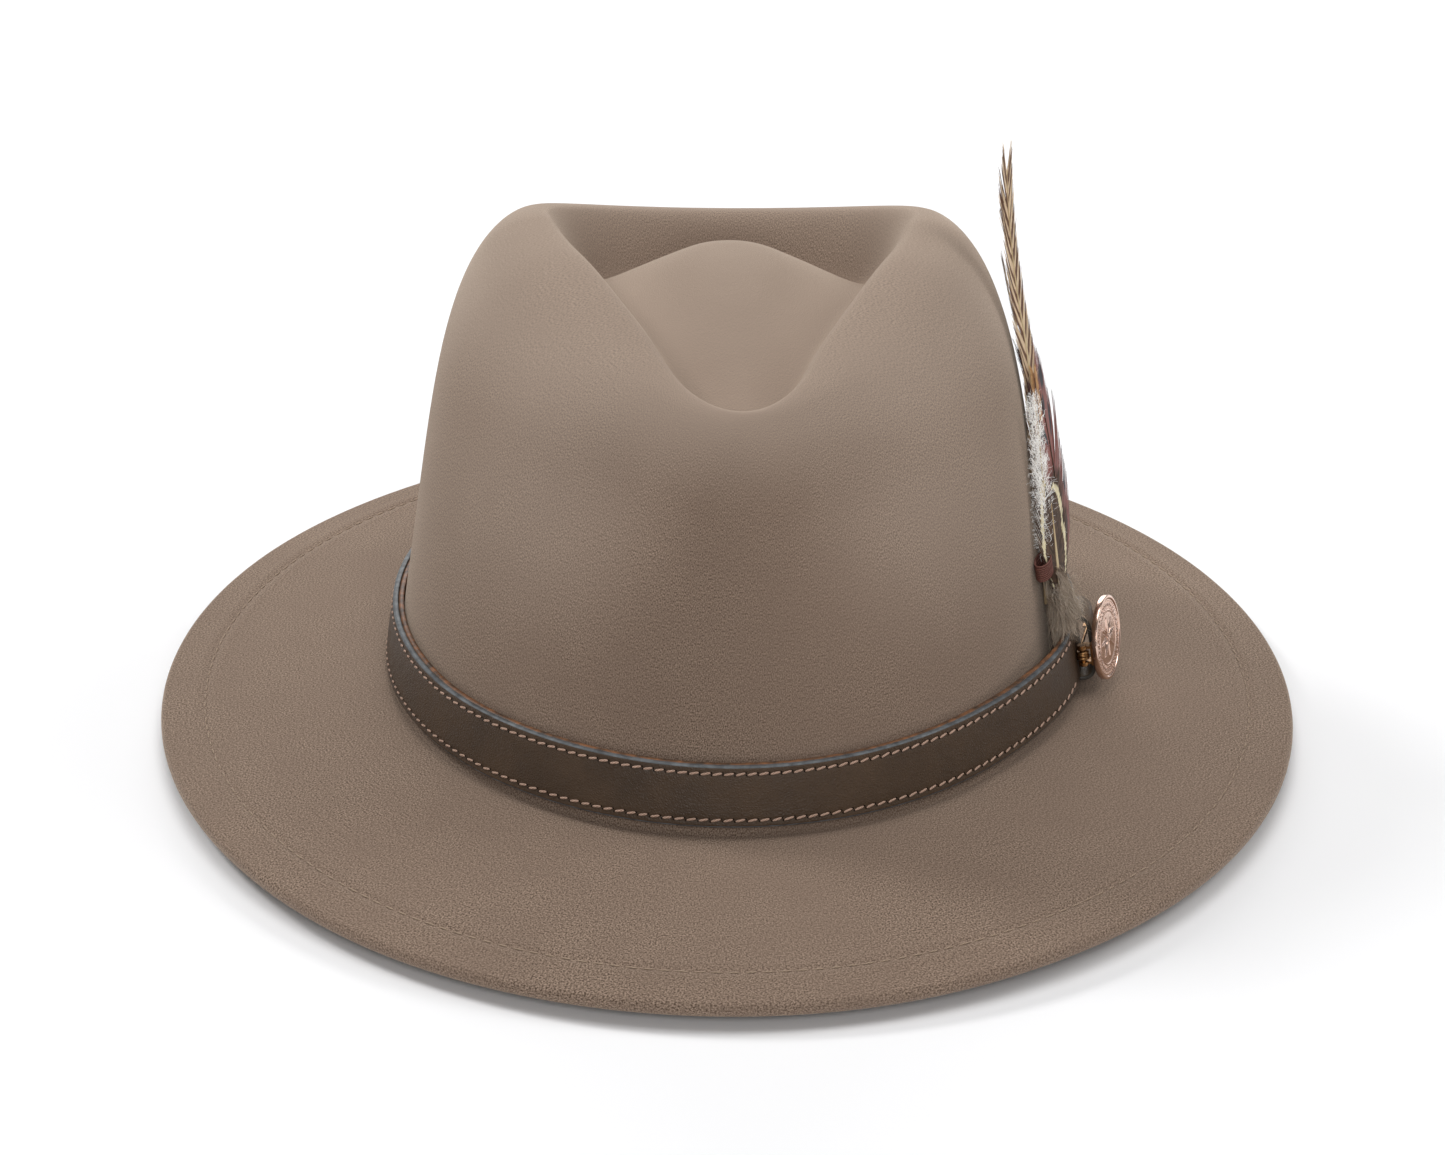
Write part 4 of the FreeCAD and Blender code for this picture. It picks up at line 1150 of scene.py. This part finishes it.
def plain_feather_material(name, inner, outer, speckle):
    """One colour by the shaft and one at the edges, finely speckled."""
    r, over, _ = feather_recipe(name)
    fine = streaks(r, (3.0, 90.0, 1.0), 0.35, 0.70)
    colour = r.mix(r.grey_ramp(from_shaft(r, over), 0.05, 0.75), inner, outer)
    colour = r.mix(r.times(fine, 0.5), colour, speckle)
    return r.finish(colour, 0.6, None, Specular_IOR_Level=0.3)


def striped_material(name, dark, streak, pale):
    """Dark barbs, finely streaked, with one pale stripe along each side of the vane."""
    r, over, _ = feather_recipe(name)
    colour = r.mix(streaks(r, (3.0, 90.0, 1.0), 0.40, 0.70), dark, streak)
    away = r.math("ABSOLUTE", r.minus(from_shaft(r, over), 0.62))
    stripe = r.minus(1.0, r.times(away, 9.0))
    colour = r.mix(r.grey_ramp(stripe, 0.15, 0.45), colour, pale)
    return r.finish(colour, 0.55, None, Specular_IOR_Level=0.3)


def down_material(name, root, tip, painted_glow=0.0):
    """Down: paler towards the barbs' tips, and each barb a little different; glow sets a faint emission,
    painted light standing in for light scattered through the down.
    """
    r, over, along = feather_recipe(name)
    shade = r.plus(r.times(over, 0.7), r.times(along, 0.45))
    colour = r.mix(shade, root, tip)
    return r.finish(colour, 0.85, None, Specular_IOR_Level=0.15, Sheen_Weight=0.25,
                    Emission_Color=tip, Emission_Strength=painted_glow)


quill_cream = plain_feather_material("quill", (214, 196, 160), (190, 166, 128), (150, 120, 88))
quill_dark = plain_feather_material("quill_dark", (70, 48, 36), (60, 40, 30), (40, 28, 22))

def make_vaned_feather(node, slot, feather, vane_settings, quill_settings, materials):
    """A feather with its vane and shaft, in its own piece."""
    pile = Pile()
    vane(pile, feather, **vane_settings)
    rachis(pile, feather, **quill_settings)
    finish_piece(pile.make(node + "_barbs"), "feathers", slot, node, *materials)


make_vaned_feather(
    "feather_long", "barred_feather",
    Feather((-1.0, 14.7), 116.0, 11.0, SPRAY_LEAN, 1.0, 13.0, 2.7, twist=0.34, blunt=14.0),
    {"pitch": 0.40, "ribbon": 0.58, "splits": 9, "loose": 0.05, "end": 0.945}, {"thick": 0.62, "end": 0.95},
    [barred_material("barred_feather", (222, 196, 162), (92, 54, 32), 24.0, 0.0), quill_cream])
make_vaned_feather(
    "feather_long_back", "barred_feather",
    Feather((1.5, 14.7), 88.0, 10.0, SPRAY_LEAN + 5.0, 0.4, 3.5, 2.7, twist=0.10, cup=0.02),
    {"pitch": 0.44, "ribbon": 0.55, "splits": 7, "loose": 0.04}, {"thick": 0.5},
    [barred_material("barred_feather_back", (168, 138, 104), (66, 44, 34), 22.0, 0.3), quill_cream])
make_vaned_feather(
    "feather_amber", "amber_feather",
    Feather((-0.5, 14.7), 60.0, 9.0, SPRAY_LEAN - 2.0, 2.1, 4.4, 2.2, twist=0.24, cup=0.02),
    {"pitch": 0.42, "ribbon": 0.55, "splits": 6, "loose": 0.05}, {"thick": 0.45},
    [plain_feather_material("amber_feather", (132, 84, 46), (216, 164, 104), (98, 60, 38)), quill_dark])
make_vaned_feather(
    "feather_chestnut", "chestnut_feather",
    Feather((0.5, 14.7), 58.0, 22.0, SPRAY_LEAN + 3.0, 6.2, 4.2, 1.9, twist=0.34, cup=-0.006),
    {"pitch": 0.40, "ribbon": 0.56, "splits": 7, "loose": 0.03, "start": 0.16}, {"thick": 0.5},
    [spotted_material("chestnut_feather", (152, 88, 78), (106, 58, 52), (34, 30, 38)), quill_dark])
make_vaned_feather(
    "feather_window", "dark_feather",
    Feather((-3.5, 14.7), 28.0, 17.0, SPRAY_LEAN, 5.2, 4.6, 1.0, twist=0.44, cup=-0.006),
    {"pitch": 0.38, "ribbon": 0.54, "splits": 5, "loose": 0.03}, {"thick": 0.62},
    [striped_material("dark_feather", (62, 46, 38), (104, 80, 60), (232, 220, 184)), quill_cream])


def make_white_down():
    """Soft white down in front of the red feather, its barbs curling free towards the hat's front."""
    down = Feather((1.0, 14.7), 57.0, 9.0, 4.0, 2.9, 5.1, 2.2, twist=0.30)
    count = 1900
    along = rng.uniform(0.30, 0.99, count) ** 1.15 * down.length
    low = 1.0 - along / down.length
    side = np.where(rng.uniform(size=count) < 0.66, -1.0, 1.0)
    roots = down.place(side * rng.uniform(0.0, 2.2, count), along, rng.uniform(-1.6, 0.6, count))
    shaft = down.place(0.0, along)
    across = unit(down.place(side * 3.0, along) - shaft)
    forward = unit(down.place(0.0, along + 1.0) - shaft)
    angle = np.radians(rng.normal(24.0, 20.0, count) + 46.0 * low)[:, None]
    loose = rng.normal(0.10, 0.22, count)[:, None] * K_OUT
    directions = across * np.sin(angle) + forward * np.cos(angle) + loose
    lengths = (1.0 + 5.0 * low) * rng.uniform(0.6, 1.25, count)
    pile = Pile()
    strands(pile, roots, directions, lengths, 0.17, 0.20)
    rachis(pile, down, 0.35)
    # the 0.10 emission is painted light, making the down look lit through
    barbs = down_material("white_down", (236, 232, 226), (253, 252, 250), 0.10)
    piece = pile.make("feather_down_barbs")
    finish_piece(piece, "feathers", "white_down", "feather_down_white", barbs, quill_cream)


def make_fluff():
    """Grey-brown afterfeather in locks that spill from the binding over the band's top edge."""
    locks, barbs = 95, 34
    count = locks * barbs

    def shared(values):
        return np.repeat(values, barbs)

    back = shared(rng.uniform(-12.5, -1.5, locks))
    up = shared(rng.uniform(11.5, 24.5, locks))
    out = shared(rng.uniform(1.6, 6.4, locks))
    roots = on_crown(back + rng.normal(0.0, 0.35, count), up + rng.normal(0.0, 0.5, count),
                     out + rng.normal(0.0, 0.3, count))
    sideways = shared(rng.normal(-0.40, 0.45, locks)) + rng.normal(0.0, 0.14, count)
    rise = shared(rng.normal(-0.80, 0.35, locks)) + rng.normal(0.0, 0.14, count)
    flare = shared(rng.uniform(-0.05, 0.40, locks)) + rng.normal(0.0, 0.10, count)
    directions = sideways[:, None] * K_BACK + rise[:, None] * K_UP + flare[:, None] * K_OUT
    lengths = shared(rng.uniform(5.5, 11.5, locks)) * rng.uniform(0.7, 1.1, count)
    pile = Pile()
    strands(pile, roots, directions, lengths, 0.15, 0.10)
    barbs = down_material("grey_down", (118, 100, 84), (186, 170, 152))
    finish_piece(pile.make("feather_fluff_barbs"), "feathers", "grey_down", "feather_fluff", barbs)


make_white_down()
make_fluff()


def make_binding():
    """Thread wound round the spray's foot: a flat coil of many turns."""
    turns = 9
    around = np.linspace(0.0, turns * 2.0 * np.pi, turns * 40)
    c, s = np.cos(around), np.sin(around)
    outline_back = SPRAY_BACK + 3.6 * np.sign(c) * np.abs(c) ** 0.5
    outline_out = 1.7 + 1.0 * np.sign(s) * np.abs(s) ** 0.6
    rise = 10.25 + 3.5 * around / around[-1]
    path = in_keeper(np.stack([outline_out, outline_back, rise], -1))
    pile = Pile()
    add_tube(pile, path, 0.2, 8)
    upper = 2.0 * np.pi * np.linspace(0.0, 8.0, 320)
    rise = 24.6 + 4.6 * upper / upper[-1]
    path = on_crown(SPRAY_BACK - 4.0 + 4.4 * np.cos(upper), rise, 2.3 + 1.9 * np.sin(upper))
    add_tube(pile, path, 0.24, 8)
    thread = thread_material("binding_thread", (84, 50, 44), (138, 92, 80))
    finish_piece(pile.make("quill_binding_thread"), "feathers", "binding_thread", "quill_binding", thread)


make_binding()
dress("quill_wrap", leather("quill_wrap_leather", (66, 50, 40), (88, 68, 54)))


# ---- inside the crown ----
SWEATBAND_LOW = WALL_FOOT - 1.0
SWEATBAND_HEIGHT = 36.0
SWEATBAND_OUT = 3.5
SWEATBAND_THICK = 1.0
LINING_DEPTH = 2.9


def sweep_round(section, count=480):
    """A closed tube round the hat from a section of (height, depth) pairs; depth is inwards."""
    angles = 360.0 * np.arange(count + 1) / count
    rows = [wall_at(angles, height, -depth) for height, depth in section]
    points = np.stack(rows, 1)
    lengths, around = run_length(points[:, 0]) * MM, run_length(section) * MM
    return points, np.stack(np.broadcast_arrays(lengths[:, None], around[None]), -1)


def make_sweatband():
    """A leather band with a rounded top, a stitched foot and a crease above the reed."""
    corner = 0.42
    outline = rounded_box(SWEATBAND_HEIGHT / 2.0, SWEATBAND_THICK / 2.0, corner)
    middle_height = SWEATBAND_LOW + SWEATBAND_HEIGHT / 2.0
    middle_depth = SWEATBAND_OUT + SWEATBAND_THICK / 2.0
    inner_face = [(share * (SWEATBAND_HEIGHT / 2.0 - corner), SWEATBAND_THICK / 2.0)
                  for share in np.linspace(0.98, -0.98, 40)]
    section = np.array(list(outline[:4]) + inner_face + list(outline[4:]))
    height = middle_height + section[:, 0]
    crease = 0.22 * bell(height - 20.6, 0.7) + 0.16 * bell(height - 50.4, 0.35)
    depth = middle_depth + section[:, 1] - crease * (section[:, 1] > 0.3)
    points, uvs = sweep_round(np.stack([height, depth], -1))
    hide = leather("sweatband_leather", (150, 106, 68), (182, 136, 92), 1000.0, 0.55)
    band = one_grid("sweatband_hide", points, uvs)
    finish_piece(band, "root", "sweatband_leather", "sweatband", hide)


def make_sweatband_stitching():
    height, depth = WALL_FOOT + 3.0, SWEATBAND_OUT + SWEATBAND_THICK

    def point_at(angle):
        here = wall_at(angle, height, -depth)
        return here, unit(wall_at(angle, height, -depth - 1.0) - here)

    row = stitch_row(point_at, stitch_angles(0.0, 360.0, 120), lean=0.0, length=3.2, width=0.5, height=0.4)
    thread = thread_material("sweatband_thread", (190, 170, 140), (226, 210, 184))
    finish_piece(row.make("sweatband_thread"), "root", "sweatband_thread", "sweatband_stitching", thread)


def make_reed():
    """The reed: a covered cord in the fold at the sweatband's foot."""
    turn = np.linspace(0.0, 2.0 * np.pi, 15)[:-1]
    section = np.stack([15.4 + 0.9 * np.sin(turn), 4.0 + 0.9 * np.cos(turn)], -1)
    points, uvs = sweep_round(section)
    cover = leather("reed_cover", (140, 98, 62), (168, 122, 82), 1200.0, 0.6)
    reed = one_grid("sweatband_reed_cover", points[:, ::-1], uvs)
    finish_piece(reed, "root", "sweatband_leather", "sweatband_reed", cover)


def satin_material(name, dark, light):
    """Woven satin: fine warp lines, a soft sheen along them and faint creases."""
    r = Recipe(name)
    warp = r.noise(r.coords("UV", scale=(9000.0, 240.0, 1.0)), 1.0, 2.0, 0.5)
    weft = r.noise(r.coords("UV", scale=(300.0, 7000.0, 1.0)), 1.0, 2.0, 0.5)
    weave = r.plus(r.times(warp, 0.6), r.times(weft, 0.4))
    colour = r.mix(r.grey_ramp(weave, 0.35, 0.65), dark, light)
    normal = r.bump(weave, 0.25, 0.0002)
    normal = r.bump(r.noise(r.coords("Object"), 60.0, 3.0), 0.35, 0.0012, normal)
    return r.finish(colour, 0.34, normal, Anisotropic=0.5, Sheen_Weight=0.3, Specular_IOR_Level=0.5)


satin = satin_material("satin", (74, 58, 46), (104, 84, 68))


def make_lining_side():
    """The lining's side, one strip gathered at its top edge under the cap."""
    columns, steps = 720, 60
    angles = 360.0 * np.arange(columns + 1) / columns
    phase = np.cumsum(np.repeat(rng.uniform(0.75, 1.3, columns // 4), 4))
    phase = np.concatenate([[0.0], phase]) / phase[-1] * 2.0 * np.pi * 84.0
    rows = []
    for level in np.linspace(0.105, 0.975, steps):
        fold = smooth((level - 0.30) / 0.68)
        depth = LINING_DEPTH + 0.1 + 1.5 * fold * (0.5 + 0.5 * np.sin(phase)) ** 1.5
        inward = -outward(wall, angles, level)
        rows.append(tip_back(wall(angles, level) + inward * depth[:, None]))
    points = np.stack(rows)
    high, wide = run_length(points[:, 0]) * MM, run_length(points[0]) * MM
    uvs = np.stack(np.broadcast_arrays(wide[None], high[:, None]), -1)
    obj = one_grid("lining_side_satin", points, uvs, wrap=False)
    finish_piece(obj, "root", "satin", "lining_side", satin)


def make_lining_tip():
    """The lining's cap, sewn flat and held up into the crown's top."""
    rows = felt_rows[WALL_END - 12:] - felt_normals[WALL_END - 12:] * LINING_DEPTH
    rows = rows[::2, ::2]
    rows = np.concatenate([rows, np.broadcast_to(rows[-1].mean(0), rows[-1:].shape)])
    spans = np.linalg.norm(rows - rows[-1].mean(0), axis=-1)
    turn = 2.0 * np.pi * np.arange(rows.shape[1]) / rows.shape[1]
    uvs = np.stack([spans * np.cos(turn), spans * np.sin(turn)], -1) * MM
    obj = one_grid("lining_tip_satin", rows, uvs)
    finish_piece(obj, "root", "satin", "lining_tip", satin)


def inside_axes(angle, height, depth):
    """A point on the crown's inside with its inward, sideways and upward directions."""
    here = wall_at(angle, height, -depth)
    inward = unit(wall_at(angle, height, -depth - 1.0) - here)
    up = unit(wall_at(angle, height + 1.0, -depth) - here)
    return here, inward, unit(np.cross(up, inward)), up


def make_label():
    """A small blank tab, its lower edge behind the sweatband's top."""
    here, inward, side, up = inside_axes(118.0, 30.0, SWEATBAND_OUT + SWEATBAND_THICK + 1.2)
    across, rise = np.meshgrid(np.linspace(-9.0, 9.0, 25), np.linspace(0.0, 13.0, 19), indexing="ij")
    curl = 0.003 * across ** 2 + 0.004 * rise ** 1.5
    points = here + across[..., None] * side + rise[..., None] * up + curl[..., None] * inward
    ribbon = satin_material("label_ribbon", (206, 194, 172), (228, 218, 198))
    obj = one_grid("size_label_ribbon", points, np.stack([across, rise], -1) * MM, wrap=False)
    finish_piece(obj, "root", "label", "size_label", ribbon)


def ribbon_strip(pile, path, width, across):
    """A ribbon along a path (steps, 3) that lies across the given direction."""
    half = across * width / 2.0
    points = np.stack([path - half, path, path + half], 1)
    pile.add_grids(points[None], grid_uvs(len(path), 3) * np.array([0.02, 0.004]))


def make_bow():
    """A narrow ribbon tied in a bow: two loops, two tails and the knot between them."""
    here, inward, side, up = inside_axes(90.0, 42.0, SWEATBAND_OUT + SWEATBAND_THICK + 0.8)
    pile = Pile()
    turn = np.linspace(0.0, 2.0 * np.pi, 49)
    for hand in (-1.0, 1.0):
        reach = 4.2 * (1.0 - np.cos(turn)) / 2.0 * 1.8
        puff = 0.75 * np.sin(turn) * np.sin(turn / 2.0) + 0.75
        sag = -0.9 * np.sin(turn / 2.0) ** 2
        path = here + (hand * reach)[:, None] * side + puff[:, None] * inward + sag[:, None] * up
        ribbon_strip(pile, path, 3.4, up)
        fall = np.linspace(0.0, 1.0, 20)
        path = here + (hand * (0.8 + 3.0 * fall))[:, None] * side - (10.2 * fall)[:, None] * up
        path = path + (0.5 + 0.3 * np.sin(fall * 5.0))[:, None] * inward
        ribbon_strip(pile, path, 2.6, unit(side + up * 0.3 * hand))
    round_knot = np.linspace(0.0, 2.0 * np.pi, 33)
    path = here + (1.5 * np.cos(round_knot))[:, None] * side
    path = path + (0.8 + 0.8 * np.sin(round_knot))[:, None] * inward
    ribbon_strip(pile, path, 3.6, up)
    ribbon = satin_material("bow_ribbon", (48, 38, 32), (76, 62, 52))
    finish_piece(pile.make("sweatband_bow_ribbon"), "root", "ribbon", "sweatband_bow", ribbon)


make_sweatband()
make_sweatband_stitching()
make_reed()
make_lining_side()
make_lining_tip()
make_label()
make_bow()


# ---- camera, floor and light ----
VIEW_AZIMUTH = -1.5
VIEW_ELEVATION = 25.1
VIEW_ROLL = 0.3
VIEW_DISTANCE = 1.5
VIEW_LENS = 142.8664
LIGHT_AIM = Vector((0.0, 0.0, 0.05))
FLOOR_DROP = 3.0      # the hat stands this far over the stage floor, so that the brim throws a crescent
TARGET = Vector((-0.0013, 0.0, 0.0385))


def make_camera():
    camera = bpy.data.objects.new("camera", bpy.data.cameras.new("camera"))
    a, e = math.radians(VIEW_AZIMUTH), math.radians(VIEW_ELEVATION)
    back = Vector((math.sin(a) * math.cos(e), -math.cos(a) * math.cos(e), math.sin(e)))
    camera.location = TARGET + back * VIEW_DISTANCE
    level = back.to_track_quat("Z", "Y").to_matrix().to_4x4()
    camera.rotation_euler = (level @ Matrix.Rotation(math.radians(VIEW_ROLL), 4, "Z")).to_euler()
    camera.data.sensor_width = 36.0
    camera.data.lens = VIEW_LENS
    camera.data.clip_end = 50.0
    bpy.context.scene.collection.objects.link(camera)
    bpy.context.scene.camera = camera


def make_floor():
    half = 6000.0
    corners = [(x * half, y * half, -FLOOR_DROP) for x, y in ((-1, -1), (1, -1), (1, 1), (-1, 1))]
    floor = mesh_object("floor", corners, [[(0, 1, 2, 3)]], smooth_shading=False)
    r = Recipe("floor")
    floor.data.materials.append(r.finish((246, 246, 247), 0.9, None, Specular_IOR_Level=0.1))


def area_light(name, place, size, power):
    """A round soft light aimed at the crown's foot."""
    light = bpy.data.lights.new(name, "AREA")
    light.shape = "DISK"
    light.size = size
    light.energy = power
    obj = bpy.data.objects.new(name, light)
    obj.location = Vector(place)
    direction = LIGHT_AIM - Vector(place)
    obj.rotation_euler = direction.to_track_quat("-Z", "Y").to_euler()
    bpy.context.scene.collection.objects.link(obj)


def make_light():
    world = bpy.data.worlds.new("studio")
    world.use_nodes = True
    background = world.node_tree.nodes["Background"]
    background.inputs["Color"].default_value = (1.0, 1.0, 1.0, 1.0)
    background.inputs["Strength"].default_value = 0.178
    bpy.context.scene.world = world
    for name, place, size, power in (("overhead", (0.0, 0.0, 2.3), 1.6, 20.7),
                                     ("back_sheet", (0.0, 2.0, 0.8), 1.6, 17.8),
                                     ("key_left_back", (-1.55, 0.77, 1.6), 0.6, 19.5),
                                     ("fill_right", (1.8, 0.2, 1.6), 1.0, 13.3),
                                     ("front_low", (0.0, -2.0, 1.1), 1.0, 16.7)):
        area_light(name, place, size, power)


make_camera()
make_floor()
make_light()
bpy.context.scene.view_settings.view_transform = "Standard"
